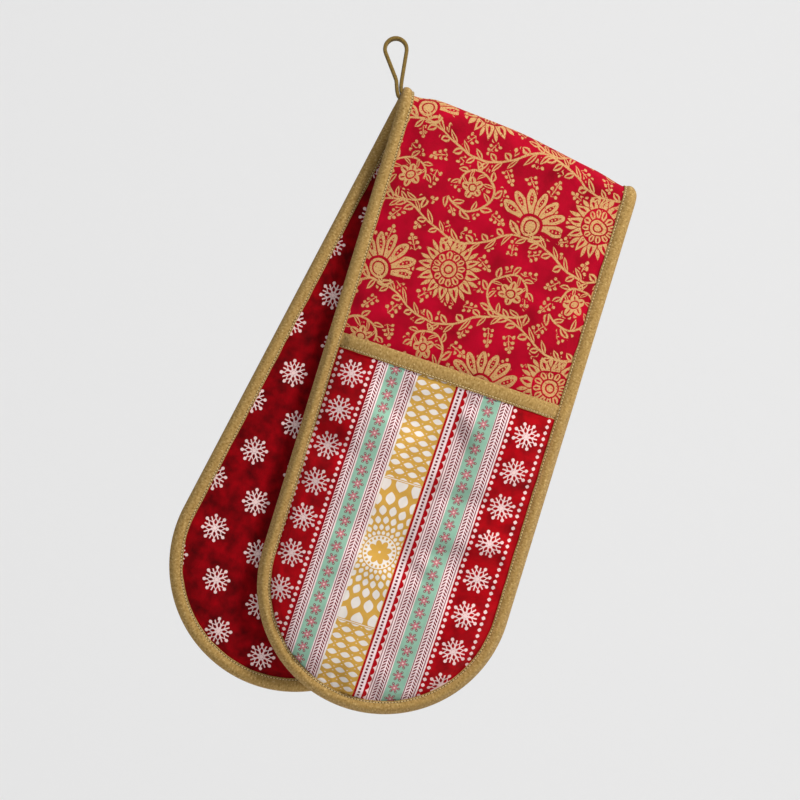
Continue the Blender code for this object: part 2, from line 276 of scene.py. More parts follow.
# By zone: the turn from the front at its hinge, the hinge's two bodies, and how far before
# and after it the cloth turns
HINGES = {
    "front": (math.pi / 4, ("front_half", "fold_front"), (-SEGMENT, 0)),
    "fold_front": (math.pi * 3 / 8, ("fold_front", "fold_mid"), (-1.5 * MM, 1.5 * MM)),
    "fold_rear": (math.pi * 5 / 8, ("fold_mid", "fold_rear"), (-1.5 * MM, 1.5 * MM)),
    "rear": (math.pi * 3 / 4, ("fold_rear", "rear_half"), (0, SEGMENT)),
}


def ride_fold(piece, zone):
    """Fabric across one hinge of the fold, between the middles of two segments: its turn's ends
    are worked out but not used; only its place is baked into its points.
    """
    turn, bodies, reach = HINGES[zone]
    tangent = BACK * math.sin(turn) + UP * math.cos(turn)
    start, end = (tuple(FOLD_CENTRE + tangent * way) for way in reach)
    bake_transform(piece)
    return piece


def ride_pocket(piece, half, hand):
    """Pocket cloth: the places of its side seam and of the pocket's middle are worked out but not
    used; only its place is baked into its points.
    """
    level = TOE_CENTRE[half]
    start = on_half(half, hand * POCKET_SIDE, level, 0.0)
    end = on_half(half, POCKET_SEAM, level, 0.0)
    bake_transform(piece)
    return piece


# Grids over the halves and the fold

BEND_START = -30 * MM  # from here up, the rows run parallel to the fold
BEND_END = -2 * MM
STRAIGHT = 290 * MM  # about the length of a half's straight sides
TOE_DEPTH = 135 * MM  # the length that the toe's rows are counted from


def half_rows(step):
    """Rows from the toe to the middle of the first fold segment.

    Each row has the angle below the toe's centre, its share of the straight side, and the
    way over the fold that the straight side runs to.
    """
    toe = np.radians(np.linspace(86, 0, int(TOE_DEPTH / step)))
    side = np.linspace(0, 1, int(STRAIGHT / step))[1:]
    bend = np.linspace(BEND_START, BEND_END, int(-BEND_START / step))[1:]
    turn = rounded(1, 11, BEND_END, SEGMENT)[1:]
    top = np.concatenate([bend, turn])
    angle = np.concatenate([toe, np.zeros(len(side) + len(top))])
    share = np.concatenate([np.zeros(len(toe)), side, np.ones(len(top))])
    over = np.concatenate([np.full(len(toe) + len(side), BEND_START), top])
    return angle, share, over


def row_y(half, x, share, over):
    """A row's y: a share of the way from the toe's centre to a line parallel to the fold."""
    centre = TOE_CENTRE[half]
    return centre + share * (y_over(over, x) - centre)


def half_grid(half, inset, step):
    """x and y over a whole half, inside the given inset."""
    angle, share, over = (part[:, None] for part in half_rows(step))
    reach = HALF_WIDTH - inset
    columns = np.linspace(-1, 1, int(2 * reach / step) + 1)[None, :]
    x = reach * np.cos(angle) * columns
    y = row_y(half, x, share, over) - reach * np.sin(angle)
    return x, y


def fold_grid(zone, inset, step, rows=17):
    """x and y of the strip over one side of the fold, between the middles of two segments."""
    low = FOLD_START[zone]
    over = rounded(1, rows, low, low + SEGMENT)[:, None]
    reach = HALF_WIDTH - inset
    x = reach * np.linspace(-1, 1, int(2 * reach / step) + 1)[None, :]
    return np.broadcast_arrays(x, y_over(over, x))


# How the loose cloths settle in their frames: a cloth simulation at ten times the size

SETTLE_SCALE = 10
SETTLE_STEP = 4 * MM
SETTLE_FRAMES = 26
SETTLE_REACH = 88 * MM
SETTLE_COLUMNS = 45
SETTLE_MOST = 2.2 * MM  # no height passes this, up or down
COVER_TOP = -6 * MM  # the loose cloth of a half ends here, below the fold


class Settled:
    """A cloth a little longer than the frame that holds its edges, and the heights it takes.

    It reaches up to high, is longer by the share spare, and is pressed outward by push.
    """

    def __init__(self, half, high, spare, push, seed):
        self.low = np.array([-SETTLE_REACH, TOE_CENTRE[half] - SETTLE_REACH])
        self.size = np.array([SETTLE_COLUMNS, int((high - self.low[1]) / SETTLE_STEP) + 1])
        self.heights = np.zeros(self.size)
        column, row = np.indices(self.size)
        x, y = self.low[0] + column * SETTLE_STEP, self.low[1] + row * SETTLE_STEP
        first = noise(x / (15 * MM), y / (15 * MM), seed) * 0.6 * MM
        points = np.stack([x, y, first], axis=-1).reshape(-1, 3) * SETTLE_SCALE
        faces = grid_quads(np.arange(x.size).reshape(self.size))
        mesh = bpy.data.meshes.new("settling")
        mesh.from_pydata(points.tolist(), [], faces.tolist())
        self.cloth = put_in_scene("settling", mesh)
        held = (inset_of(half, x, y) < BINDING_WIDTH) | (row == self.size[1] - 1)
        group = self.cloth.vertex_groups.new(name="held")
        group.add(np.flatnonzero(held).tolist(), 1.0, "REPLACE")
        modifier = self.cloth.modifiers.new("settling", "CLOTH")
        settings = modifier.settings
        settings.quality = 8
        settings.mass = 0.4
        settings.tension_stiffness = settings.compression_stiffness = 20
        settings.shear_stiffness = 10
        settings.bending_stiffness = 8
        settings.vertex_group_mass = "held"
        settings.shrink_min = settings.shrink_max = -spare
        settings.use_pressure = True
        settings.uniform_pressure_force = push
        settings.effector_weights.gravity = 0
        modifier.collision_settings.use_collision = False
        modifier.point_cache.frame_end = SETTLE_FRAMES

    def read(self):
        """Keep the settled heights, and take the cloth out of the scene again."""
        shown = self.cloth.evaluated_get(bpy.context.evaluated_depsgraph_get())
        points = np.empty(len(shown.data.vertices) * 3)
        shown.data.vertices.foreach_get("co", points)
        height = points.reshape(*self.size, 3)[..., 2] / SETTLE_SCALE
        self.heights = SETTLE_MOST * np.tanh(height / SETTLE_MOST)
        bpy.data.objects.remove(self.cloth)

    def at(self, x, y):
        """The height at any place, along cubic curves through the nearest four points each way."""
        place = [(x - self.low[0]) / SETTLE_STEP, (y - self.low[1]) / SETTLE_STEP]
        near = [np.floor(part).astype(int) for part in place]
        weights = [cubic_weights(part - low) for part, low in zip(place, near)]
        height = 0
        for over in range(4):
            column = np.clip(near[0] + over - 1, 0, self.size[0] - 1)
            for up in range(4):
                row = np.clip(near[1] + up - 1, 0, self.size[1] - 1)
                height = height + self.heights[column, row] * weights[0][over] * weights[1][up]
        return height


def cubic_weights(share):
    """Four neighbours' parts in a curve that runs through the middle two, a share of the way on.

    Each part is a cubic of that share, and the curve's slope at either of the two is half the
    step between the points at its sides.
    """
    square, cube = share**2, share**3
    return (
        -0.5 * share + square - 0.5 * cube,
        1 - 2.5 * square + 1.5 * cube,
        0.5 * share + 2 * square - 1.5 * cube,
        -0.5 * square + 0.5 * cube,
    )


def settle_all():
    """Let every loose cloth settle at once, and keep what each comes to."""
    scene = bpy.context.scene
    scene.frame_end = SETTLE_FRAMES
    cloths = {}
    for half in ("front", "rear"):
        seed = 300 + 10 * len(half)
        mouth = mouth_line(half, 0.0) - MOUTH_BAND
        cloths[half, "outer_fabric"] = Settled(half, COVER_TOP, 0.02, 0.6, seed)
        cloths[half, "backing"] = Settled(half, COVER_TOP, 0.02, 0.3, seed + 1)
        cloths[half, "pocket"] = Settled(half, mouth, 0.03, 0.9, seed + 2)
    for number in range(1, SETTLE_FRAMES + 1):
        scene.frame_set(number)
    for cloth in cloths.values():
        cloth.read()
    scene.frame_set(1)
    return cloths


# The cloth's relief


def ripples(x, y, inset, seed):
    """Broad soft ripples of the padding across the strip, and smaller creases, in its measure."""
    broad = noise(x / (70 * MM), y / (19 * MM), seed) * 0.6 * MM
    slanting = noise(x / (26 * MM) + y / (34 * MM), y / (13 * MM), seed + 1) * 0.35 * MM
    return (broad + slanting) * rise(inset, 16, start=9)


def puckers(half, x, y, inset, seed):
    """Short creases drawn in by the edge stitching: they fade inward, and towards the fold."""
    way = edge_way(half, x, y)
    fade = np.exp(-np.maximum(inset - 11 * MM, 0) / (8 * MM)) * rise(inset, 5, start=7)
    fade = fade * rise(-over_fold(x, y), 20, start=2)
    lively = 0.6 + 0.4 * noise(way / (60 * MM), 0.5, seed + 7)
    return noise(way / (5.5 * MM), inset / (25 * MM), seed + 2) * 0.5 * MM * fade * lively


RELIEF_SEEDS = {"outer_fabric": 31, "backing": 41, "pocket": 81}


def half_relief(half, layer, x, y):
    """A cloth's ripples and puckers, and how it has settled, which fades out towards the fold."""
    inset = inset_of(half, x, y)
    seed = RELIEF_SEEDS[layer]
    wave = ripples(*to_strip(half, x, y), inset, seed)
    free = rise(inset, 6, start=9) * rise(-over_fold(x, y), 30, start=4)
    wave = wave + SETTLED[half, layer].at(x, y) * free
    return wave + puckers(half, x, y, inset, seed + len(half))


def under_pocket(half, x, y):
    """1 where the strip is free, falling to a small share where the pocket presses on it."""
    return 1 - 0.85 * rise(mouth_line(half, x) + MOUTH_HANG - y, 25)


def wadding_face(half, layer, x, y):
    """Half the wadding at a place, with the relief of the cloth that lies on it."""
    relief = half_relief(half, layer, x, y)
    if layer == "outer_fabric":
        relief = relief * under_pocket(half, x, y)
    return wadding_half(inset_of(half, x, y)) + relief


def strip_flat(half, x, y):
    """A half's places in the strip's flat measure."""
    return np.stack(to_strip(half, x, y), axis=-1)


def cover_half(half, layer, step):
    """The outer cloth or the backing of one half, from the toe to the first fold segment."""
    x, y = half_grid(half, TUCK, step)
    side = 1 if layer == "outer_fabric" else -1
    face = wadding_face(half, layer, x, y) + SEAT
    upper = on_half(half, x, y, side * (face + FABRIC))
    lower = on_half(half, x, y, side * face)
    print_name = "outer_print" if side > 0 else "backing_print"
    piece = layer_piece(f"{half}_{layer}_cloth", upper, lower, strip_flat(half, x, y), print_name)
    ride_fold(piece, half)
    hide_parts(f"{half}_{layer}")
    return piece


def cover_fold(zone, layer, nodes):
    """The outer cloth over the fold, or the backing that gathers inside it in small pleats."""
    outer = layer == "outer_fabric"
    x, y = fold_grid(zone, TUCK, 2 * MM, 17 if outer else 37)
    inset = HALF_WIDTH - np.abs(x)
    face = wadding_half(inset) + SEAT + ripples(x, y, inset, RELIEF_SEEDS[layer])
    if outer:
        upper, lower = on_strip(x, y, face + FABRIC), on_strip(x, y, face)
    else:
        turn = 4 * math.pi * over_fold(x, y) / SEGMENT
        pleat = np.sin(turn) * 0.85 * MM * rise(inset, 10, start=10)
        upper, lower = on_strip(x, y, pleat - face - FABRIC), on_strip(x, y, pleat - face)
    print_name = "outer_print" if outer else "backing_print"
    flat = np.stack([x, y], axis=-1)
    piece = layer_piece(f"{zone}_{layer}_cloth", upper, lower, flat, print_name)
    ride_fold(piece, zone)
    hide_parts(*nodes)
    return piece


def wadding_piece(half):
    """The fibre wadding inside one half."""
    x, y = half_grid(half, WADDING_TUCK, 4 * MM)
    upper = on_half(half, x, y, wadding_face(half, "outer_fabric", x, y) - PLAY)
    lower = on_half(half, x, y, PLAY - wadding_face(half, "backing", x, y))
    piece = layer_piece(f"{half}_wadding_pad", upper, lower, strip_flat(half, x, y), "wadding")
    ride_fold(piece, half)
    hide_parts(f"{half}_wadding")


def wadding_fold(zone, nodes):
    """The fibre wadding over the fold, pressed thin on its inner side."""
    x, y = fold_grid(zone, WADDING_TUCK, 4 * MM)
    inset = HALF_WIDTH - np.abs(x)
    core = wadding_half(inset)
    upper = on_strip(x, y, core + ripples(x, y, inset, RELIEF_SEEDS["outer_fabric"]) - PLAY)
    lower = on_strip(x, y, -np.minimum(core, 2 * MM))
    piece = layer_piece(f"{zone}_wadding_pad", upper, lower, np.stack([x, y], axis=-1), "wadding")
    ride_fold(piece, zone)
    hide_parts(*nodes)


# The edge binding

# Half the binding's section, as (inset, height) in millimetres from its inner lip to the edge
BINDING_FACE = [
    (10.0, 2.35), (10.05, 2.65), (9.8, 2.9), (9.4, 2.9), (8.9, 2.7), (8.4, 2.95), (7.6, 3.45),
    (6.5, 3.9), (5.4, 4.1), (4.3, 4.0), (3.2, 3.6), (2.2, 2.95), (1.3, 2.15), (0.6, 1.3),
    (0.15, 0.6),
]
BINDING_INSIDE = [(10.0, 2.0), (7.0, 2.05), (4.0, 2.0), (2.0, 1.3), (1.2, 0.5)]


def mirrored(points):
    """A half section and its mirror image below the strip's middle, in metres."""
    points = np.array(points) * MM
    return np.concatenate([points, points[::-1] * [1, -1]])


def tape_section(face, inside):
    """A folded tape's closed section, and the way round it to each point from the outer lip."""
    outline = np.concatenate([mirrored(face), mirrored(inside)[::-1]])
    steps = np.linalg.norm(np.diff(outline, axis=0, prepend=outline[:1]), axis=1)
    return outline, np.cumsum(steps)


BINDING_OUTLINE, BINDING_WAY = tape_section(BINDING_FACE, BINDING_INSIDE)
TAPE_WIDTH = BINDING_WAY[2 * len(BINDING_FACE) - 1]
STITCH_WAY = BINDING_WAY[4]  # the stitches sink in at the section's fifth point


def edge_stations(step):
    """Stations round a half's edge: down the left side, round the toe and up the right side.

    Each has the angle round the toe's centre, its share of the straight side, and the way over
    the fold that the side runs to.
    """
    turn = rounded(1, 12, BEND_END, SEGMENT)[::-1]
    bend = np.linspace(BEND_END, BEND_START, int(-BEND_START / step))[1:]
    side = np.linspace(1, 0, int(STRAIGHT / step))[1:]
    toe = np.linspace(math.pi, 2 * math.pi, int(math.pi * HALF_WIDTH / step))
    over = np.concatenate([turn, bend, np.full(len(side), BEND_START)])
    share = np.concatenate([np.ones(len(turn) + len(bend)), side])
    left, right = np.full(len(over), math.pi), np.full(len(over), 2 * math.pi)
    angle = np.concatenate([left, toe[1:-1], right])
    still = np.zeros(len(toe) - 2)
    over = np.concatenate([over, still, over[::-1]])
    share = np.concatenate([share, still, share[::-1]])
    return angle, share, over


def edge_places(half, stations, inset):
    """x and y of places round a half's edge, by station and inset."""
    angle, share, over = (part[:, None] for part in stations)
    reach = HALF_WIDTH - inset
    x = reach * np.cos(angle)
    y = row_y(half, x, share, over) + reach * np.sin(angle)
    return x, y


def pocket_rise(half, x, y):
    """How far the pocket under it lifts the binding's outer lip, from its mouth down."""
    return LIP_RISE * rise(mouth_line(half, x) + MOUTH_HANG - y, 9)


def binding_section(way, seed):
    """The binding's insets and heights at each station, with its small unevenness."""
    inset, height = BINDING_OUTLINE[None, :, 0], BINDING_OUTLINE[None, :, 1]
    waver = noise(way / (9 * MM), 0.5, seed)[:, None] * 0.3 * MM
    swell = 1 + 0.05 * noise(way / (6 * MM), 3.5, seed + 1)[:, None]
    inset = inset + waver * (inset / BINDING_WIDTH) ** 2
    return inset, height * swell


def edge_binding(half, seed):
    """The folded tape round one half's edge, lifted on its outer side where the pocket lies."""
    stations = edge_stations(1.6 * MM)
    x, y = edge_places(half, stations, np.array([[STITCH_INSET]]))
    way = path_length(x[:, 0], y[:, 0])
    calm = rise(-over_fold(x, y), 10, start=4)
    inset, height = binding_section(way, seed)
    plain = BINDING_OUTLINE[None, :, :]
    inset = plain[..., 0] + (inset - plain[..., 0]) * calm
    height = plain[..., 1] + (height - plain[..., 1]) * calm
    x, y = edge_places(half, stations, inset)
    lift = pocket_rise(half, x, y) * rise(inset, 5)
    height = np.where(height > 0, height + lift, height)
    sections = on_half(half, x, y, height)
    flat = crossed(way, BINDING_WAY)
    piece = swept_piece(f"{half}_edge_tape", sections, flat, "binding")
    ride_fold(piece, half)
    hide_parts(f"{half}_edge_binding")
    return piece


def fold_binding(zone, hand, nodes):
    """The same tape over the fold, at one end of it."""
    low = FOLD_START[zone]
    over = rounded(1, 17, low, low + SEGMENT)
    x = hand * (HALF_WIDTH - BINDING_OUTLINE[None, :, 0])
    y = y_over(over[:, None], x)
    sections = on_strip(x, y, BINDING_OUTLINE[None, :, 1])
    flat = crossed(over, BINDING_WAY)
    piece = swept_piece(f"{zone}_{SIDES[hand]}_tape", sections, flat, "binding")
    ride_fold(piece, zone)
    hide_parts(*nodes)
    return piece


# Stitches


# A stitch's bead: its sections' places along it and their girths, as shares of its own
BEAD = np.array([(-0.97, 0.35), (-0.6, 0.85), (0.0, 1.0), (0.6, 0.85), (0.97, 0.35)])
BEAD_SIDES = 6


def unit(ways):
    """Each way at a length of 1."""
    return ways / np.linalg.norm(ways, axis=1, keepdims=True)


def stitch_piece(name, rows):
    """Short stitches: each a flat-bellied bead, widest at its middle and drawn to both ends.

    Each row gives its stitches' centres, their ways along the seam and their ways outward.
    """
    centre, along, outward = (np.concatenate(group) for group in zip(*rows))
    along = unit(along)
    outward = unit(outward - along * np.sum(along * outward, axis=1, keepdims=True))
    sideways = np.cross(along, outward)
    turn = np.arange(BEAD_SIDES) / BEAD_SIDES * 2 * math.pi
    lengthwise = np.repeat(BEAD[:, 0] * STITCH_LENGTH / 2, BEAD_SIDES)
    across = np.outer(BEAD[:, 1], np.cos(turn)).ravel() * STITCH_WIDTH / 2
    up = np.outer(BEAD[:, 1], np.sin(turn)).ravel() * STITCH_WIDTH * 0.42
    points = centre[:, None, :] + lengthwise[None, :, None] * along[:, None, :]
    points = points + across[None, :, None] * sideways[:, None, :]
    points = points + up[None, :, None] * outward[:, None, :]
    *quads, near_end, far_end = swept_faces(len(BEAD), BEAD_SIDES)
    first = (np.arange(len(centre)) * len(up))[:, None, None]
    faces = (first + np.array(quads)).reshape(-1, 4).tolist()
    faces += (first + np.array([near_end, far_end])).reshape(-1, BEAD_SIDES).tolist()
    flat = np.broadcast_to(lengthwise[None, :, None] * [1, 0], (*points.shape[:2], 2))
    return make_piece(name, points, faces, flat, "thread")


def stitch_row(place, x, y, ahead_x, ahead_y, height, side):
    """A row's centres, ways along the seam and ways outward, from a placing function."""
    centre = place(x, y, height)
    along = place(ahead_x, ahead_y, height) - centre
    outward = (place(x, y, height + 0.5 * MM) - centre) * side
    return centre, along, outward


def path_length(x, y):
    """The way along a line to each of its points."""
    return np.concatenate([[0], np.cumsum(np.hypot(np.diff(x), np.diff(y)))])


def even_stations(half, inset, pitch):
    """Places along a half's edge at an even pitch, and a little ahead of each."""
    fine = edge_stations(0.4 * MM)
    x, y = edge_places(half, fine, np.array([[inset]]))
    x, y = x[:, 0], y[:, 0]
    way = path_length(x, y)
    here = np.arange(pitch / 2, way[-1], pitch)
    ahead = here + STITCH_AHEAD
    return tuple(np.interp(place, way, line) for place in (here, ahead) for line in (x, y))


def edge_stitches(half):
    """The row of stitches along the binding's inner lip, on both faces of the half."""
    places = even_stations(half, STITCH_INSET, STITCH_PITCH)
    x, y = places[:2]
    place = functools.partial(on_half, half)
    upper = STITCH_LEVEL + pocket_rise(half, x, y)
    lower = np.full(len(x), -STITCH_LEVEL)
    rows = [stitch_row(place, *places, upper, 1), stitch_row(place, *places, lower, -1)]
    return ride_fold(stitch_piece(f"{half}_edge_stitches", rows), half)


def fold_stitches(zone):
    """The same stitches over the fold, at both ends of it."""
    over = FOLD_START[zone] + np.arange(0.5, 4) * SEGMENT / 4
    rows = []
    for hand in SIDES:
        x = np.full(len(over), hand * (HALF_WIDTH - STITCH_INSET))
        y = y_over(over, x)
        rows.append(stitch_row(on_strip, x, y, x, y + STITCH_AHEAD, STITCH_LEVEL, 1))
    return ride_fold(stitch_piece(f"{zone}_edge_stitches", rows), zone)


# The pockets


def mouth_line(half, x):
    """The top edge of a pocket's mouth binding."""
    return TOE_CENTRE[half] - HALF_WIDTH + POCKET_DEPTH - x * MOUTH_SLANT


def pocket_floor(half, x, y, inset):
    """The pocket's inner face: it lies on the strip at the toe and arches open at the mouth."""
    toe = TOE_CENTRE[half] - POCKET_HALF
    face = wadding_half(inset) + SEAT + FABRIC + SEAT
    arch = 1 - np.clip(np.abs(x) / POCKET_HALF, 0, 1) ** 4
    lift = MOUTH_SIDE_LIFT + (MOUTH_LIFT - MOUTH_SIDE_LIFT) * arch
    return face + lift * np.maximum(y - toe, 0) / POCKET_DEPTH


PRESSED_FLAT = 1.2 * MM  # the pocket's layers where a dent presses the padding flat
SEAM_INNER = 2.15 * MM  # where the binding holds its lining's face
SEAM_OUTER = 3.5 * MM  # and its print's


def pocket_faces(half, x, y):
    """Heights of the lining's inner face and the print's outer face.

    Inside, they lie a padding apart, and nowhere nearer than PRESSED_FLAT. Towards the seam both
    sink to where the binding holds them, and towards the mouth the padding thins.
    """
    inset = inset_of(half, x, y)
    floor = pocket_floor(half, x, y, inset)
    from_mouth = mouth_line(half, x) - MOUTH_BAND - y
    from_edge = np.minimum(inset - BINDING_WIDTH, from_mouth)
    core = 1.2 * MM + 1.8 * MM * smooth(from_edge / CROWN_WIDTH)
    relief = half_relief(half, "pocket", x, y) * (0.3 + 0.7 * rise(from_mouth, 20))
    free = rise(inset - POCKET_TUCK, 7)
    inner = SEAM_INNER + (floor - SEAM_INNER) * free
    outer = SEAM_OUTER + (floor + core + 1.8 * MM + relief * 1.7 - SEAM_OUTER) * free
    spare = outer - inner - PRESSED_FLAT
    return inner, inner + PRESSED_FLAT + (spare + np.hypot(spare, 0.3 * MM)) / 2


def pocket_grid(half, hand, step):
    """x and y over one side of a pocket, from the toe to inside the mouth binding."""
    angle = np.radians(np.linspace(85, 0, int(POCKET_TOE / step)))
    share = np.linspace(0, 1, int(POCKET_STRAIGHT / step))[1:]
    angle = np.concatenate([angle, np.zeros(len(share))])[:, None]
    share = np.concatenate([np.zeros(len(angle) - len(share)), share])[:, None]
    columns = rounded(1 / POCKET_SIDE, int(POCKET_SIDE / step), 0.0, 1.0)[None, :]
    edge = hand * POCKET_REACH * np.cos(angle)
    x = POCKET_SEAM + (edge - POCKET_SEAM) * columns
    centre = TOE_CENTRE[half]
    top = mouth_line(half, x) - POCKET_TOP
    y = centre - POCKET_REACH * np.sin(angle) + share * (top - centre)
    return x, y


def pocket_part(half, hand):
    """The lining, wadding and print of one side of a pocket."""
    side = SIDES[hand]
    x, y = pocket_grid(half, hand, 1.9 * MM)
    inner, outer = pocket_faces(half, x, y)
    flat = np.stack([x, y - TOE_CENTRE[half]], axis=-1)
    face = on_half(half, x, y, outer)
    across, along = face[1:, :-1] - face[:-1, :-1], face[:-1, 1:] - face[:-1, :-1]
    area = float(np.linalg.norm(np.cross(across, along), axis=-1).sum())
    width = POCKET_REACH - hand * POCKET_SEAM
    area = min(area, width * POCKET_LENGTH)
    pieces = []
    for layer, high, low, material in (
        ("print", outer, outer - FABRIC, "pocket_print"),
        ("wadding_pad", outer - FABRIC - PLAY, inner + 0.5 * MM, "wadding"),
        ("lining_cloth", inner + 0.4 * MM, inner, "lining"),
    ):
        high = np.maximum(high, low + 0.15 * MM)
        upper, lower = on_half(half, x, y, high), on_half(half, x, y, low)
        piece = layer_piece(f"{half}_pocket_{layer}_{side}", upper, lower, flat, material)
        ride_pocket(piece, half, hand)
        material == "wadding"
        pieces.append(piece)
    return pieces


# Half the mouth binding's section, as (way down from the top edge, height) in millimetres
MOUTH_FACE = [
    (10.5, 2.0), (10.55, 2.3), (10.2, 2.5), (9.4, 2.38), (8.8, 2.5), (7.6, 2.8), (6.0, 3.0),
    (4.4, 2.98), (3.0, 2.75), (1.8, 2.3), (0.9, 1.7), (0.3, 0.95), (0.05, 0.35),
]
MOUTH_INSIDE = [(10.4, 1.75), (6.0, 1.8), (3.0, 1.7), (1.6, 0.9), (1.2, 0.3)]
MOUTH_OUTLINE, MOUTH_WAY = tape_section(MOUTH_FACE, MOUTH_INSIDE)
MOUTH_MIDDLE = 3.0 * MM  # the mouth binding's middle where the edge binding holds it
MOUTH_STITCH_DOWN = 9.3 * MM
MOUTH_STITCH_LEVEL = 2.5 * MM


def mouth_heights(half, x, y, height):
    """Where the mouth binding's points lie: on the open arch, and pressed flat at its two ends."""
    inset = HALF_WIDTH - np.abs(x)
    free = rise(inset - POCKET_TUCK, 8)
    middle = pocket_floor(half, x, y, inset) + 1.5 * MM
    middle = MOUTH_MIDDLE + (middle - MOUTH_MIDDLE) * free
    return middle + height * (0.32 + 0.68 * free)


def mouth_part(half, hand, seed):
    """One side of the folded tape over the pocket's mouth."""
    side = SIDES[hand]
    length = hand * POCKET_REACH - POCKET_SEAM
    station = POCKET_SEAM + length * rounded(1 / POCKET_SIDE, 60, 0.0, 1.0)
    waver = noise(station / (8 * MM), 0.5, seed)[:, None] * 0.25 * MM
    down = MOUTH_OUTLINE[None, :, 0] + waver
    swell = 1 + 0.06 * noise(station / (6 * MM), 2.5, seed)[:, None]
    x = np.broadcast_to(station[:, None], down.shape)
    y = mouth_line(half, x) - down
    height = mouth_heights(half, x, y, MOUTH_OUTLINE[None, :, 1] * swell)
    sections = on_half(half, x, y, height)
    flat = crossed(station, MOUTH_WAY)
    piece = swept_piece(f"{half}_mouth_tape_{side}", sections, flat, "binding")
    ride_pocket(piece, half, hand)
    return piece


def mouth_stitches(half, hand):
    """Stitches along the lower lip of the mouth binding, on both of its faces."""
    def place(x, y, height):
        return on_half(half, x, y, mouth_heights(half, x, y, height))

    reach = HALF_WIDTH - BINDING_WIDTH - 1 * MM
    count = int(abs(hand * reach - POCKET_SEAM) / STITCH_PITCH)
    x = POCKET_SEAM + hand * (np.arange(count) + 0.5) * STITCH_PITCH
    ahead = x + STITCH_AHEAD
    y, ahead_y = (mouth_line(half, part) - MOUTH_STITCH_DOWN for part in (x, ahead))
    rows = [
        stitch_row(place, x, y, ahead, ahead_y, face * MOUTH_STITCH_LEVEL, face)
        for face in (1, -1)
    ]
    return ride_pocket(stitch_piece(f"{half}_mouth_stitches_{SIDES[hand]}", rows), half, hand)


# The hanging loop


def loop_path():
    """The tape's middle line: out of the binding, up one leg, over the hook and down the other.

    Key points are joined by straight lines and a circle's arc, then evened by averaging.
    """
    radius = 7.75 * MM
    legs = np.array([
        LOOP_ROOT + ACROSS * 6 * MM + UP * 2.0 * MM,
        LOOP_ROOT + ACROSS * 3 * MM + UP * 3.4 * MM,
        [3.6 * MM, 0, -34 * MM],
        [4.2 * MM, 0, -29 * MM],
    ])
    turn = np.radians(np.linspace(-12, 192, 40))
    arch = np.stack([radius * np.cos(turn), 0 * turn, -7 * MM + radius * np.sin(turn)], axis=1)
    back = np.array([
        [0.4 * MM, 0, -29 * MM],
        [0.8 * MM, 0, -36 * MM],
        LOOP_ROOT + ACROSS * 1.6 * MM + UP * 0.4 * MM,
        LOOP_ROOT + ACROSS * 6 * MM - UP * 0.6 * MM,
    ])
    key = np.concatenate([legs, arch, back])
    way = np.concatenate([[0], np.cumsum(np.linalg.norm(np.diff(key, axis=0), axis=1))])
    even = np.linspace(0, way[-1], 220)
    path = np.stack([np.interp(even, way, key[:, axis]) for axis in range(3)], axis=1)
    for _ in range(12):
        path[1:-1] = (path[:-2] + path[1:-1] * 2 + path[2:]) / 4
    return path, even


def hanging_loop():
    """A narrow folded tape with stitched edges, carried on edge along the loop's path."""
    path, way = loop_path()
    normal = np.cross(unit(np.gradient(path, axis=0)), BACK)
    turn = np.linspace(0, 2 * math.pi, 28, endpoint=False)
    wide = np.sign(np.cos(turn)) * np.abs(np.cos(turn)) ** 0.35 * 4 * MM
    thick = np.sign(np.sin(turn)) * np.abs(np.sin(turn)) ** 0.6 * 1.4 * MM
    thick = thick * (1 - 0.22 * np.exp(-(((np.abs(wide) - 2.9 * MM) / (0.45 * MM)) ** 2)))
    sections = path[:, None, :] + wide[None, :, None] * BACK
    sections = sections + thick[None, :, None] * normal[:, None, :]
    piece = swept_piece("hanging_tape", sections, crossed(way, wide), "loop_tape")
    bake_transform(piece)
    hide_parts("hang_loop")
    return piece


# Materials


def linear(red, green, blue):
    """A colour written as 8-bit values, as the shader takes it."""
    share = np.array([red, green, blue]) / 255
    return (*np.where(share < 0.04045, share / 12.92, ((share + 0.055) / 1.055) ** 2.4), 1)


def add_node(tree, kind, **inputs):
    """A new node, with each named input set to a value or joined to another node's output."""
    node = tree.nodes.new("ShaderNode" + kind)
    for name, value in inputs.items():
        if isinstance(value, bpy.types.NodeSocket):
            tree.links.new(value, node.inputs[name])
        else:
            node.inputs[name].default_value = value
    return node


class Field:
    """A number that varies over the cloth, worked out by Math nodes."""

    def __init__(self, tree, socket):
        self.tree = tree
        self.socket = socket

    def math(self, operation, *others, clamp=False):
        """The outcome of a Math node on this number and the others."""
        node = add_node(self.tree, "Math")
        node.operation = operation
        node.use_clamp = clamp
        for place, value in zip(node.inputs, (self, *others)):
            if isinstance(value, Field):
                self.tree.links.new(value.socket, place)
            else:
                place.default_value = value
        return Field(self.tree, node.outputs[0])

    def scaled(self, factor, start, clamp=False):
        """The number times a factor, from a start."""
        return self.math("MULTIPLY_ADD", factor, start, clamp=clamp)

    def clipped(self, factor):
        """The number times a factor, kept between 0 and 1."""
        return self.math("MULTIPLY", factor, clamp=True)

    def __add__(self, other):
        return self.math("ADD", other)

    def __sub__(self, other):
        return self.math("SUBTRACT", other)

    def __rsub__(self, other):
        return self.scaled(-1, other)

    def __mul__(self, other):
        return self.math("MULTIPLY", other)

    def __truediv__(self, number):
        return self.math("MULTIPLY", 1 / number)

    def __neg__(self):
        return self.math("MULTIPLY", -1)

    def __abs__(self):
        return self.math("ABSOLUTE")

    __radd__ = __add__
    __rmul__ = __mul__


def either(first, *others):
    """The union of shapes, each a distance that is below 0 inside."""
    for other in others:
        first = first.math("MINIMUM", other)
    return first


def both(first, *others):
    """The part that shapes share."""
    for other in others:
        first = first.math("MAXIMUM", other)
    return first


def wrap(value, period):
    """A value brought to within half a period of 0."""
    return value.math("WRAP", period / 2, -period / 2)


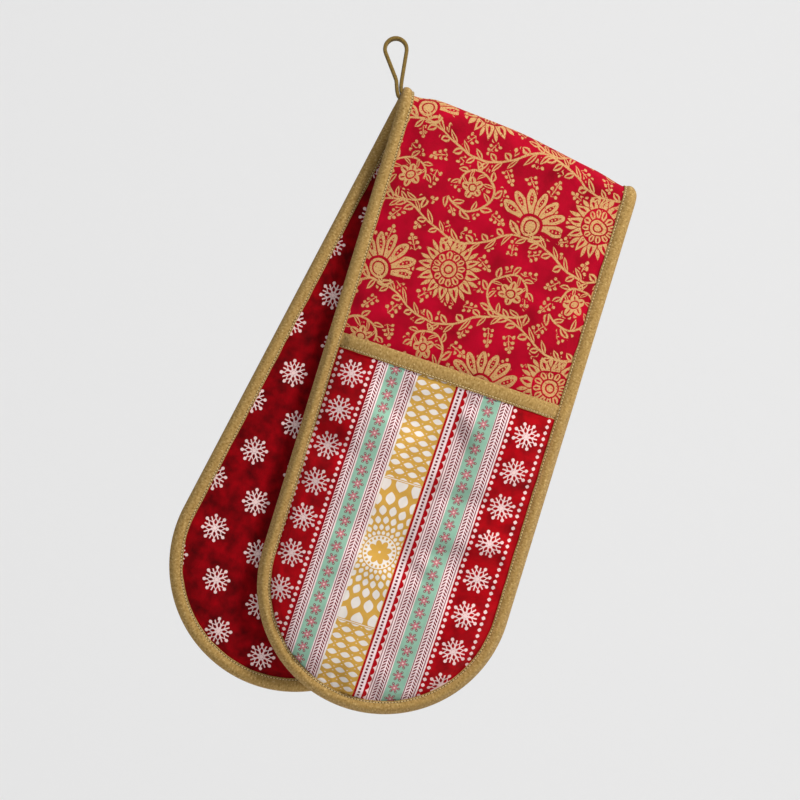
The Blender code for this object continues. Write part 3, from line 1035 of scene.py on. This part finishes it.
def hypot(x, y):
    """The distance from 0."""
    return y.scaled(y, x * x).math("SQRT")


def polar(x, y):
    """The distance from 0, and the angle from the x axis."""
    return hypot(x, y), y.math("ARCTAN2", x)


def turned(x, y, degrees):
    """A place as seen by axes that are turned about 0."""
    c, s = math.cos(math.radians(degrees)), math.sin(math.radians(degrees))
    return y.scaled(s, x * c), y.scaled(c, x * -s)


def ink(shape, soft=0.16):
    """How much of a shape's ink covers a place: 1 inside, 0 outside, with a soft edge in mm."""
    return shape.scaled(-1 / soft, 0.5, clamp=True)


def leaf(across, along, width, length):
    """A pointed leaf, whose half-width falls off as the square of the way along it."""
    return (along * along).scaled(width / length**2, abs(across) - width)


def snowflake(x, y):
    """Eight beaded arms, each over a leaf-shaped cell, and eight plain bars between them."""
    far, angle = polar(x, y)
    eighth = math.pi / 4
    bar = far * abs(wrap(angle, eighth))
    arm = far * abs(wrap(angle + eighth / 2, eighth))
    bars = both(bar - 0.46, far - 8.3)
    arms = both(arm - 0.46, abs(far - 7.6) - 1.2)
    walls = abs(leaf(arm, far - 4.25, 1.42, 2.25)) - 0.4
    return either(bars, arms, walls, hypot(arm, far - 8.8) - 1.2, far - 1.35)


def rosette(x, y, size, petals):
    """A full round flower: long veined petals, tips between them, and a short row inside."""
    far, angle = polar(x, y)
    sector = 2 * math.pi / petals
    off = abs(wrap(angle, sector))
    outline = off.scaled(-0.4 * size / (sector / 2), size)
    petal = both(far - outline, 0.3 - far * (sector / 2 - off), size * 0.55 - far)
    vein = leaf(far * off, far - size * 0.73, 0.8, size * 0.13)
    between = abs(wrap(angle + sector / 2, sector))
    tips = leaf(far * between, far - size * 0.84, 1.5, size * 0.19)
    rim = (between * between).scaled(-0.13 * size / (sector / 2) ** 2, size * 0.51)
    inner = both(far - rim, 0.32 - far * (sector / 2 - between), size * 0.27 - far)
    slit = leaf(far * between, far - size * 0.4, 0.5, size * 0.08)
    heart = both(far - size * 0.235, 0.4 - abs(far - size * 0.12))
    return either(both(petal, -vein), both(tips, 0.35 - petal), both(inner, -slit), heart)


def palm(x, y, size, lobes, spread):
    """Half a flower of rounded, pierced petals round a ringed heart, with a leaf at each side."""
    far, angle = polar(y, x)
    sector = 2 * spread / lobes
    off = abs(wrap(angle + sector / 2 * (1 - lobes % 2), sector))
    edge = (off * off).scaled(-0.36 * size / (sector / 2) ** 2, size)
    gap = 0.32 - far * (sector / 2 - off)
    fan = both(far - edge, gap, size * 0.34 - far, (abs(angle) - spread) * 9)
    slit = leaf(far * off, far - size * 0.7, 1.15, size * 0.2)
    bead = hypot(far * off, wrap(far, 2.7)) - 0.75
    heart = both(far - size * 0.27, 0.36 - abs(far - size * 0.17))
    out, along = turned(abs(x) - size * 0.34, y + size * 0.24, -55)
    blade = both(leaf(out, along, 2.9, size * 0.25), -leaf(out, along, 0.7, size * 0.16))
    return either(both(fan, either(-slit, bead)), heart, blade)


def twig(out, along, pitch, stem, wide, long, slant):
    """Veined leaves by turns on the two sides of a stem; out is the distance to its line."""
    step = out.math("GREATER_THAN", 0)
    place = wrap(step.scaled(pitch / 2, along), pitch)
    across, lengthwise = turned(abs(out) - long * 0.72, place, slant)
    blade = leaf(across, lengthwise, wide, long)
    vein = leaf(across, lengthwise, wide * 0.26, long * 0.62)
    return either(abs(out) - stem, both(blade, -vein))


def scroll(x, y, size, curl, count, middle, half_sweep):
    """A curling stem that tightens as it goes round, with a leaf at each step."""
    far, angle = polar(x, y)
    angle = wrap(angle - math.radians(middle), 2 * math.pi)
    out = far - angle.scaled(curl, size)
    pitch = 2 * math.pi * size / count
    leaves = twig(out, angle * size, pitch, 0.85, 1.9, 4.3, math.copysign(50, curl))
    return both(leaves, (abs(angle) - math.radians(half_sweep)) * size)


def blossom(x, y, size, petals):
    """A small flower of rounded petals with a ring cut round its heart."""
    far, angle = polar(x, y)
    edge = abs((angle * (petals / 2)).math("SINE")).scaled(size * 0.4, size * 0.62)
    off = abs(wrap(angle - math.pi / petals, 2 * math.pi / petals))
    notch = leaf(far * off, far - size * 0.66, 0.42, size * 0.2)
    return both(far - edge, 0.34 - abs(far - size * 0.34), -notch)


# The size of the damask's repeat, and of the cells of its sprigs, in millimetres
DAMASK_WIDTH = 92.0
DAMASK_HEIGHT = 118.0
SPRIG_WIDTH = 17.0
SPRIG_HEIGHT = 16.0


def garland(x, y):
    """A leafy stem that waves across the cloth, a wave to each repeat."""
    wave = (x * (2 * math.pi / DAMASK_WIDTH)).math("SINE")
    out = wave.scaled(-8.5, wrap(y + 3, DAMASK_HEIGHT / 2))
    return twig(out, x, DAMASK_WIDTH / 9, 0.9, 2.0, 4.6, 46)


def berry_sprig(cloth, x, y):
    """A short stem with paired berries, turned a different way in each cell of the cloth."""
    cell_x, cell_y = (x / SPRIG_WIDTH).math("ROUND"), (y / SPRIG_HEIGHT).math("ROUND")
    cell = add_node(cloth.tree, "CombineXYZ", X=cell_x.socket, Y=cell_y.socket)
    chance = add_node(cloth.tree, "TexWhiteNoise", Vector=cell.outputs[0])
    chance.noise_dimensions = "2D"
    way = Field(cloth.tree, chance.outputs["Value"]) * (2 * math.pi)
    c, s = way.math("COSINE"), way.math("SINE")
    from_x, from_y = x - cell_x * SPRIG_WIDTH, y - cell_y * SPRIG_HEIGHT
    across, along = from_x * c + from_y * s, from_y * c - from_x * s
    taper = along.scaled(-0.2, 2.6)
    berries = hypot(abs(across) - taper, wrap(along, 3.6)) - 1.32
    twigs = abs(wrap(along - abs(across) * 0.7 + 1.6, 3.6)) - 0.36
    stem = either(abs(across) - 0.5, both(twigs, abs(across) - 2.2))
    tip = hypot(across, along - 6.2) - 1.4
    return either(both(either(berries, stem), abs(along) - 5.3), tip)


def damask(cloth, x, y):
    """Flowers, fans and curling leafy stems, in columns that drop by half a repeat by turns."""
    column = (x / DAMASK_WIDTH).math("ROUND")
    odd = abs(wrap(column, 2.0))
    local_x = wrap(x, DAMASK_WIDTH)
    local_y = wrap(odd.scaled(DAMASK_HEIGHT / 2, y), DAMASK_HEIGHT)
    main = either(
        rosette(local_x + 22, local_y - 27, 23.0, 12),
        palm(*turned(local_x - 23, local_y + 45, -12), 26.0, 7, 1.5),
        scroll(local_x - 24, local_y - 24, 14.5, 1.5, 8, 160, 165),
        blossom(local_x - 24, local_y - 24, 8.2, 6),
        scroll(local_x + 23, local_y + 31, 14.0, -1.5, 8, 20, 165),
        blossom(local_x + 23, local_y + 31, 7.8, 5),
        garland(x, y),
    )
    return either(main, both(berry_sprig(cloth, x, y), 1.3 - main))


class Cloth:
    """A cloth's node tree: its shader, and its flat places in millimetres as x and y."""

    def __init__(self, name, roughness, sheen, grain):
        self.material = bpy.data.materials.new(name)
        self.material.use_nodes = True
        self.tree = self.material.node_tree
        self.shader = self.tree.nodes["Principled BSDF"]
        self.shader.inputs["Roughness"].default_value = roughness
        self.shader.inputs["Sheen Weight"].default_value = sheen
        self.shader.inputs["Sheen Roughness"].default_value = 0.5
        self.shader.inputs["Specular IOR Level"].default_value = 0.06
        place = add_node(self.tree, "UVMap")
        place.uv_map = "cloth"
        self.place = place.outputs["UV"]
        split = add_node(self.tree, "SeparateXYZ", Vector=self.place)
        self.x = Field(self.tree, split.outputs["X"]) / MM
        self.y = Field(self.tree, split.outputs["Y"]) / MM
        self.grain = grain

    def random(self, size, detail=2.0, stretch=(1, 1)):
        """Noise from 0 to 1 whose lumps are about size millimetres."""
        place = self.place
        if stretch != (1, 1):
            mapping = add_node(self.tree, "Mapping", Vector=place, Scale=(*stretch, 1))
            place = mapping.outputs["Vector"]
        node = add_node(self.tree, "TexNoise", Vector=place, Scale=1000 / size, Detail=detail)
        return Field(self.tree, node.outputs["Fac"])

    def mix(self, under, over, share):
        """One colour laid over another; each is a colour or the output of another mix."""
        node = add_node(self.tree, "Mix")
        node.data_type = "RGBA"
        for place, value in ((node.inputs[6], under), (node.inputs[7], over)):
            if isinstance(value, tuple):
                place.default_value = value
            else:
                self.tree.links.new(value, place)
        self.tree.links.new(share.socket, node.inputs[0])
        return node.outputs[2]

    def weave(self, width, depth, extra=None):
        """Over-and-under threads of a width as a bump, with a slubby unevenness."""
        turn = math.pi / width
        threads = (self.x * turn).math("SINE") * (self.y * turn).math("SINE")
        height = threads * 0.5 + self.random(width * 5, 2.0) * self.grain
        if extra is not None:
            height = height + extra
        bump = add_node(self.tree, "Bump", Strength=0.6, Distance=depth, Height=height.socket)
        self.tree.links.new(bump.outputs["Normal"], self.shader.inputs["Normal"])

    def colour(self, output):
        """The finished material, with its colour from an output."""
        self.tree.links.new(output, self.shader.inputs["Base Color"])
        return self.material


# Colours: the outer print, the backing, the pocket print, the tapes, the hidden cloths, the thread
CRIMSON = linear(195, 0, 41)
DEEP_CRIMSON = linear(142, 0, 23)
GOLD = linear(196, 150, 92)
PALE_GOLD = linear(220, 180, 122)
BACKING_RED = linear(162, 0, 13)
BACKING_DARK = linear(86, 0, 4)
SNOW = linear(244, 214, 211)
PINK_WHITE = linear(250, 226, 226)
CREAM = linear(238, 230, 222)
ROSE = linear(198, 122, 128)
WINE = linear(118, 0, 24)
PLUM = linear(106, 0, 26)
POCKET_RED = linear(178, 0, 15)
POCKET_DARK = linear(112, 0, 8)
MINT = linear(152, 196, 172)
MAUVE = linear(140, 56, 74)
MUSTARD = linear(214, 166, 76)
# painted shade: the brown that the pocket print is darkened toward, for the shade of its folds and
# dents
POCKET_PAINTED_SHADE = linear(70, 24, 22)
TAPE_DARK = linear(158, 124, 66)
TAPE_PALE = linear(184, 150, 90)
FLECK_DARK = linear(124, 94, 44)
FLECK_PALE = linear(211, 182, 124)
# painted shade for the sunken stitch line and the needle holes in the binding
SEAM_PAINTED_SHADE = linear(66, 44, 20)
LOOP_DARK = linear(112, 90, 42)
LOOP_PALE = linear(156, 128, 68)
TWILL_SHADE = linear(78, 60, 26)
COTTON_PALE = linear(222, 210, 188)
COTTON_DARK = linear(196, 180, 152)
FIBRE_PALE = linear(240, 238, 230)
FIBRE_DARK = linear(212, 208, 196)
THREAD_DARK = linear(208, 180, 120)
THREAD_PALE = linear(244, 224, 176)


def outer_print():
    """Crimson cotton with a gold block print: rough edges and small bare specks."""
    cloth = Cloth("outer_print", 0.75, 0.04, 0.8)
    drift = cloth.random(26, 1.0) - 0.5
    sway = cloth.random(19, 1.0) - 0.5
    x = drift.scaled(6.0, cloth.x)
    y = sway.scaled(6.0, cloth.y)
    shape = damask(cloth, x, y)
    fine = cloth.random(0.9, 2.0)
    shape = (fine - 0.38).scaled(1.3, shape)
    cover = ink(shape, 0.25) * (fine - 0.33).clipped(9)
    blotch = (cloth.random(20, 5.0) - 0.28).clipped(2.2)
    ground = cloth.mix(CRIMSON, DEEP_CRIMSON, blotch)
    gold = cloth.mix(GOLD, PALE_GOLD, cloth.random(5, 3.0))
    cloth.weave(0.42, 0.00022)
    return cloth.colour(cloth.mix(ground, gold, cover))


# On the backing: a snowflake's place, and the steps to its neighbours up right and up left
FLAKE_START = (-45.7, 341.5)
FLAKE_RIGHT = (18.1, 31.8)
FLAKE_LEFT = (-17.3, 29.9)


def backing_print():
    """Deep red cotton, a little napped, with snowflakes a step right or left of each other."""
    cloth = Cloth("backing_print", 0.85, 0.03, 1.2)
    from_x, from_y = cloth.x - FLAKE_START[0], cloth.y - FLAKE_START[1]
    (a, b), (c, d) = np.linalg.inv(np.transpose([FLAKE_RIGHT, FLAKE_LEFT])).tolist()
    right = (from_x * a + from_y * b).math("ROUND")
    left = (from_x * c + from_y * d).math("ROUND")
    x = from_x - right * FLAKE_RIGHT[0] - left * FLAKE_LEFT[0]
    y = from_y - right * FLAKE_RIGHT[1] - left * FLAKE_LEFT[1]
    fine = cloth.random(0.9, 2.0)
    flake = ink((fine - 0.5).scaled(0.5, snowflake(x, y)))
    blotch = (cloth.random(9, 6.0) - 0.3).clipped(2.3)
    ground = cloth.mix(BACKING_DARK, BACKING_RED, blotch)
    cloth.weave(0.5, 0.0003)
    return cloth.colour(cloth.mix(ground, SNOW, flake))


# Across the pocket print: where each ground colour starts, in mm from the pocket's middle
LEFT_RED_END = -52.1
RIGHT_RED_START = 47.4
BANDS_REACH = 100  # how far the bands go on either way from the middle
BANDS = [
    (-BANDS_REACH, POCKET_RED), (LEFT_RED_END, PINK_WHITE), (-44.2, MINT), (-32.1, PINK_WHITE),
    (-22.9, CREAM), (-22.2, MUSTARD), (5.4, POCKET_RED), (7.0, PINK_WHITE), (11.5, POCKET_RED),
    (15.1, PINK_WHITE), (25.2, MINT), (37.6, PINK_WHITE), (RIGHT_RED_START, POCKET_RED),
]
PRINT_LEAN = 0.027  # the bands run a little askew down the pocket
LEAN_LEVEL = 109  # the y at which they stand in their places
HERRINGBONES = (-48.7, -27.2, 21.0, 42.5)
MINTS = (-38.1, 31.6)
FLORET_PITCH = 9.25
RUNGS = 9.2
SCALLOPS = 15.3
FINE_LINE = 15.5
MUSTARD_MIDDLE = -8.4
MUSTARD_HALF = 13.4
MEDALLION_PLACE = 23.0
MEDALLION_REACH = 51.0
FLAKE_COLUMN = -66.5
FLAKE_SPREAD = 129.0  # from the left column of snowflakes to the right one
FLAKE_PITCH = 26.35
FLAKE_ROW = 110.1
FLAKE_DROP = 6.5  # the right column's snowflakes sit this much lower
FLAKE_TOP = 146.4  # above it the mouth's tape hides the next row
DOTS_ASIDE = 11.75  # from the left column's middle to its dots
DOTS_WIDER = 0.9  # how much further they are from the right one's
BARE_MIDDLE = -1.5  # snowflakes and dots keep off the ground round here,
BARE_REACH = 47.0  # this far each way


def distance_to(x, places):
    """The distance to the nearest of some lines along the cloth."""
    return either(*(abs(x - place) for place in places))


def herringbone(bone, y):
    """Strokes that fall away on both sides of a pale spine; bone is the distance to it."""
    stroke = abs(wrap(bone.scaled(0.92, y), 2.36)) - 0.67
    return both(stroke, 0.45 - bone, bone - 2.65)


def floret(x, y):
    """A six-petalled floret: its petals, the ring at each petal's end, and its heart."""
    far, angle = polar(x, y)
    across = far * abs(wrap(angle, math.pi / 3))
    petals = either(leaf(across, far - 1.8, 0.8, 1.5), far - 1.3)
    rings = abs(hypot(across, far - 3.3) - 0.74) - 0.24
    return petals, rings, far - 0.62


def medallion(x, y):
    """White leaf-shaped gaps in rings round a flower, each ring wider than the last and a half
    step on from it: the gaps are set evenly by angle and by the logarithm of the distance."""
    far, angle = polar(x, y)
    step = 2 * math.pi / 26
    ring = far.math("LOGARITHM", math.e) / 0.26
    number = ring.math("ROUND")
    across = wrap(number.scaled(step / 2, angle), step) / step
    along = ring - number
    gap = leaf(across, along, 0.36, 0.47) * far * step
    gap = both(gap, 12.3 - far)
    heart = blossom(x, y, 7.4, 8)
    disc = both(far - 11.6, either(0.9 - heart, heart + 1.3))
    teeth = both(abs(far - 10.0) - 0.9, (angle * 22).math("SINE") * 0.5)
    return either(gap, both(disc, -teeth))


def trellis(x, y):
    """Wavy lines that part and meet by turns, as a chain of lens shapes in half-dropped rows."""
    row, lens = 11.6, 9.6
    wave = abs((x * (math.pi / lens)).math("SINE"))
    other = abs((x * (math.pi / lens)).math("COSINE"))
    first = abs(wave.scaled(-3.0, abs(wrap(y, row))))
    second = abs(other.scaled(-3.0, abs(wrap(y + row / 2, row))))
    return 1.08 - either(first, second)


def mustard_gaps(x, y):
    """Where the mustard band is left pale: the medallion between two lines, and the trellis."""
    from_middle = x - MUSTARD_MIDDLE
    from_place = y - MEDALLION_PLACE
    inside = abs(from_place) - MEDALLION_REACH
    chain = both(trellis(from_middle, from_place), 1.8 - inside)
    ringed = both(medallion(from_middle, from_place), inside)
    line = abs(inside - 0.9) - 0.3
    return both(either(chain, ringed, line), abs(from_middle) - MUSTARD_HALF)


def flakes_and_dots(x, y):
    """Two columns of snowflakes, each between two lines of dots: a dot is a circle cut by a
    square that stands on its corner."""
    column = wrap(x - FLAKE_COLUMN, FLAKE_SPREAD)
    right = x.math("GREATER_THAN", 0)
    row = wrap(right.scaled(FLAKE_DROP, y - FLAKE_ROW), FLAKE_PITCH)
    flakes = both(snowflake(column, row), y - FLAKE_TOP)
    dot_x = abs(abs(column) - right.scaled(DOTS_WIDER, DOTS_ASIDE))
    dot_y = abs(wrap(y, FLAKE_PITCH / 6))
    dots = both(dot_x + dot_y - 1.7, hypot(dot_x, dot_y) - 1.32)
    return both(either(flakes, dots), BARE_REACH - abs(x - BARE_MIDDLE))


def banded_ground(cloth, x):
    """The ground colours of BANDS, one beside the other."""
    ramp = add_node(cloth.tree, "ValToRGB", Fac=(x / (2 * BANDS_REACH) + 0.5).socket)
    ramp.color_ramp.interpolation = "CONSTANT"
    stops = ramp.color_ramp.elements
    stops.remove(stops[1])
    stops[0].color = BANDS[0][1]
    for start, colour in BANDS[1:]:
        stops.new((start + BANDS_REACH) / (2 * BANDS_REACH)).color = colour
    return ramp.outputs["Color"]


def pocket_print():
    """Lengthwise bands: snowflakes between dotted lines, herringbone, florets and a trellis."""
    cloth = Cloth("pocket_print", 0.78, 0.04, 0.8)
    x = cloth.y.scaled(-PRINT_LEAN, cloth.x) + PRINT_LEAN * LEAN_LEVEL
    y = cloth.y
    sides = ink(either(x - LEFT_RED_END, RIGHT_RED_START - x))
    blotch = (cloth.random(10, 6.0) - 0.42).clipped(3.2)
    output = cloth.mix(banded_ground(cloth, x), POCKET_DARK, sides * blotch * 0.85)

    bone = distance_to(x, HERRINGBONES)
    lines = either(abs(bone - 3.7), abs(x - FINE_LINE)) - 0.3
    mint = distance_to(x, MINTS)
    petals, rings, heart = floret(mint, wrap(y, FLORET_PITCH))
    rung = both(abs(x - RUNGS) - 0.8, abs(wrap(y, 2.5)) - 0.72)
    for colour, shape in (
        (WINE, either(herringbone(bone, y), lines)),
        (ROSE, both(petals, mint - 5.2)),
        (MAUVE, both(rings, mint - 5.2)),
        (SNOW, heart),
        (CREAM, mustard_gaps(x, y)),
        (PLUM, rung),
    ):
        output = cloth.mix(output, colour, ink(shape))

    tooth = wrap(y, 5.8)
    scallop = both((tooth * tooth).scaled(-0.25, 14.9 - x), x - SCALLOPS)
    white = either(flakes_and_dots(x, y), scallop)
    fine = cloth.random(0.8, 2.0)
    output = cloth.mix(output, SNOW, ink((fine - 0.5).scaled(0.35, white)))
    # painted shade: soft random patches darken the whole print, standing in for the shade of its
    # folds and dents
    shade = (cloth.random(14, 3.0) - 0.36).clipped(2.0) * 0.22
    cloth.weave(0.42, 0.0002)
    return cloth.colour(cloth.mix(output, POCKET_PAINTED_SHADE, shade))


def binding():
    """Old gold tape, finely flecked and slightly felted, with painted shade at the needle holes
    between stitches and along the stitch line.
    """
    cloth = Cloth("binding", 0.85, 0.15, 1.2)
    mottle = cloth.random(2.2, 4.0)
    fleck = cloth.random(1.2, 3.0, (1, 0.6))
    share = (mottle - 0.3).clipped(2.4)
    base = cloth.mix(TAPE_DARK, TAPE_PALE, share)
    base = cloth.mix(base, FLECK_DARK, (fleck - 0.54).clipped(5))
    base = cloth.mix(base, FLECK_PALE, (0.45 - fleck).clipped(5))
    lip = distance_to(cloth.y, (STITCH_WAY / MM, (TAPE_WIDTH - STITCH_WAY) / MM))
    # painted shade: dark dots at the needle holes between stitches, and a dark line where the tape
    # dips at the stitching
    hole_painted_shade = ink(hypot(wrap(cloth.x, STITCH_PITCH / MM), lip * 0.8) - 0.42, 0.35)
    groove_painted_shade = ink(lip - 0.55, 0.6) * 0.45
    base = cloth.mix(base, SEAM_PAINTED_SHADE, groove_painted_shade.math("MAXIMUM", hole_painted_shade))
    cloth.weave(0.7, 0.0003, cloth.random(3.0, 3.0))
    return cloth.colour(base)


def loop_tape():
    """The loop's tape: a fine diagonal twill in a darker old gold."""
    cloth = Cloth("loop_tape", 0.8, 0.12, 1.0)
    twill = ((cloth.x + cloth.y) * (2 * math.pi / 0.9)).math("SINE")
    base = cloth.mix(LOOP_DARK, LOOP_PALE, cloth.random(1.8, 3.0))
    base = cloth.mix(base, TWILL_SHADE, (twill * 0.5 + 0.5) * 0.35)
    cloth.weave(0.6, 0.0003, twill * 0.4)
    return cloth.colour(base)


def lining():
    """Plain natural cotton with a visible slub."""
    cloth = Cloth("lining", 0.85, 0.1, 1.0)
    slub = cloth.random(2.0, 3.0, (1, 0.15))
    cloth.weave(0.5, 0.0003)
    return cloth.colour(cloth.mix(COTTON_PALE, COTTON_DARK, slub))


def wadding():
    """White fibre, open and uneven."""
    cloth = Cloth("wadding", 1.0, 0.3, 3.0)
    fibre = cloth.random(1.5, 6.0, (1, 0.3))
    cloth.weave(1.4, 0.0012)
    return cloth.colour(cloth.mix(FIBRE_PALE, FIBRE_DARK, fibre))


def thread():
    """Gold sewing thread, twisted from fine strands."""
    cloth = Cloth("thread", 0.6, 0.05, 0.3)
    twist = ((cloth.x + cloth.y) * 9).math("SINE") * 0.5 + 0.5
    cloth.weave(0.3, 0.0001)
    return cloth.colour(cloth.mix(THREAD_DARK, THREAD_PALE, twist))


def seen_directly(tree):
    """1 for what the camera sees, also in gloss and through clear surfaces."""
    path = add_node(tree, "LightPath")
    seen = Field(tree, path.outputs["Is Camera Ray"])
    for ray in ("Is Glossy Ray", "Is Transmission Ray"):
        seen = seen.math("MAXIMUM", Field(tree, path.outputs[ray]))
    return seen


PAPER = linear(236, 236, 236)
PAPER_GLOW = 0.8  # the share of the paper that shows as it is, whatever light falls on it
HORIZON = linear(224, 224, 224)


def blend_shaders(tree, first, second, share):
    """Two shaders, the second one by its share."""
    node = add_node(tree, "MixShader", Fac=share)
    tree.links.new(first, node.inputs[1])
    tree.links.new(second, node.inputs[2])
    return node.outputs[0]


def studio_paper():
    """Pale paper that still shows shade; from behind, it lets light and sight through."""
    material = bpy.data.materials.new("studio_paper")
    material.use_nodes = True
    tree = material.node_tree
    shader = tree.nodes["Principled BSDF"]
    shader.inputs["Base Color"].default_value = PAPER
    shader.inputs["Roughness"].default_value = 0.9
    pale = add_node(tree, "Emission", Color=PAPER)
    share = seen_directly(tree) * PAPER_GLOW
    front = blend_shaders(tree, shader.outputs[0], pale.outputs[0], share.socket)
    behind = add_node(tree, "NewGeometry").outputs["Backfacing"]
    clear = add_node(tree, "BsdfTransparent")
    surface = blend_shaders(tree, front, clear.outputs[0], behind)
    tree.links.new(surface, tree.nodes["Material Output"].inputs["Surface"])
    return material


FINISHES = (outer_print, backing_print, pocket_print, binding, loop_tape, lining, wadding, thread)
MATERIALS = {finish.__name__: finish() for finish in FINISHES}
SLOTS = {name: name for name in MATERIALS}
SLOTS["thread"] = "binding"


# Making the glove


SETTLED = settle_all()


def make_half(half, seed):
    """One half: cover, backing, wadding, binding, stitches and its pocket."""
    flat = (2 * HALF_WIDTH, -TOE_CENTRE[half] + HALF_WIDTH + SEGMENT)
    cut_off = (2 - math.pi / 2) * HALF_WIDTH**2  # by the round toe, from the rectangle
    area = flat[0] * flat[1] - cut_off
    for layer in ("outer_fabric", "backing"):
        piece = cover_half(half, layer, 2.2 * MM)
    wadding_piece(half)
    edge_binding(half, seed + 60)
    edge_stitches(half)
    for hand in SIDES:
        pieces = [*pocket_part(half, hand), mouth_part(half, hand, seed + 90)]
        mouth_stitches(half, hand)
        for piece, node in zip(pieces, ("fabric", "wadding", "lining", "mouth_binding")):
            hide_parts(f"{half}_pocket_{node}")


def make_fold():
    """The cover, backing, wadding, binding and stitches over the fold, in two parts."""
    shares = {"fold_front": ("fold_front", "fold_mid"), "fold_rear": ("fold_rear",)}
    for zone, bodies in shares.items():
        for layer in ("outer_fabric", "backing"):
            piece = cover_fold(zone, layer, [f"{body}_{layer}" for body in bodies])
        wadding_fold(zone, [f"{body}_wadding" for body in bodies])
        for hand, side in SIDES.items():
            fold_binding(zone, hand, [f"{body}_{side}_binding" for body in bodies])
        fold_stitches(zone)


make_half("front", 0)
make_half("rear", 200)
make_fold()
hanging_loop()


# Stage, light and camera


def sweep_stage():
    """A pale floor that curves up into a backdrop behind the glove."""
    low, high, front, back, side, radius = -0.78, 3.2, -5.0, 1.15, 4.0, 0.35
    bend = np.linspace(0, math.pi / 2, 17)
    y = np.concatenate([[front], back - radius + radius * np.sin(bend), [back]])
    z = np.concatenate([[low], low + radius - radius * np.cos(bend), [high]])
    x = np.array([-side, side])
    points = np.stack(np.broadcast_arrays(x[None, :], y[:, None], z[:, None]), axis=-1)
    mesh = bpy.data.meshes.new("studio_sweep")
    faces = grid_quads(np.arange(points.size // 3).reshape(len(y), 2))[:, ::-1]
    mesh.from_pydata(points.reshape(-1, 3).tolist(), [], faces.tolist())
    mesh.shade_smooth()
    mesh.materials.append(studio_paper())
    put_in_scene("studio_sweep", mesh)


AIM = (0.003, 0.0, -0.255)


def add_lamp(name, place, size, power, colour):
    """A round soft lamp that is aimed at the glove's middle."""
    lamp = bpy.data.lights.new(name, "AREA")
    lamp.shape = "DISK"
    lamp.size = size
    lamp.energy = power
    lamp.color = colour
    item = put_in_scene(name, lamp)
    item.location = place
    item.rotation_euler = (Vector(AIM) - Vector(place)).to_track_quat("-Z", "Y").to_euler()
    item.visible_camera = False


def add_world():
    """Soft grey light all round, which the camera, gloss and clear surfaces see as pale."""
    world = bpy.data.worlds.new("studio")
    world.use_nodes = True
    tree = world.node_tree
    light = tree.nodes["Background"]
    light.inputs["Color"].default_value = (0.95, 0.97, 1, 1)
    light.inputs["Strength"].default_value = 0.25
    pale = add_node(tree, "Background", Color=HORIZON)
    surface = blend_shaders(tree, light.outputs[0], pale.outputs[0], seen_directly(tree).socket)
    tree.links.new(surface, tree.nodes["World Output"].inputs["Surface"])
    bpy.context.scene.world = world


sweep_stage()
add_lamp("key_light", (1.1, -0.95, 0.8), 0.4, 32, (1, 0.98, 0.96))
add_lamp("fill_light", (-1.3, -1.4, 0.0), 1.2, 4.5, (0.96, 0.98, 1))
add_lamp("back_light", (-0.9, 1.5, 0.8), 0.8, 28, (1, 1, 1))
add_world()
bpy.context.scene.view_settings.view_transform = "Standard"

CAMERA_DISTANCE = 1.3255  # from the middle of the front half
camera = put_in_scene("camera", bpy.data.cameras.new("camera"))
camera.data.lens = 85
camera.data.sensor_width = 36
camera.location = (0.00295, -FOLD_RADIUS - CAMERA_DISTANCE, -0.2553)
camera.rotation_euler = (math.pi / 2, 0, 0)
bpy.context.scene.camera = camera
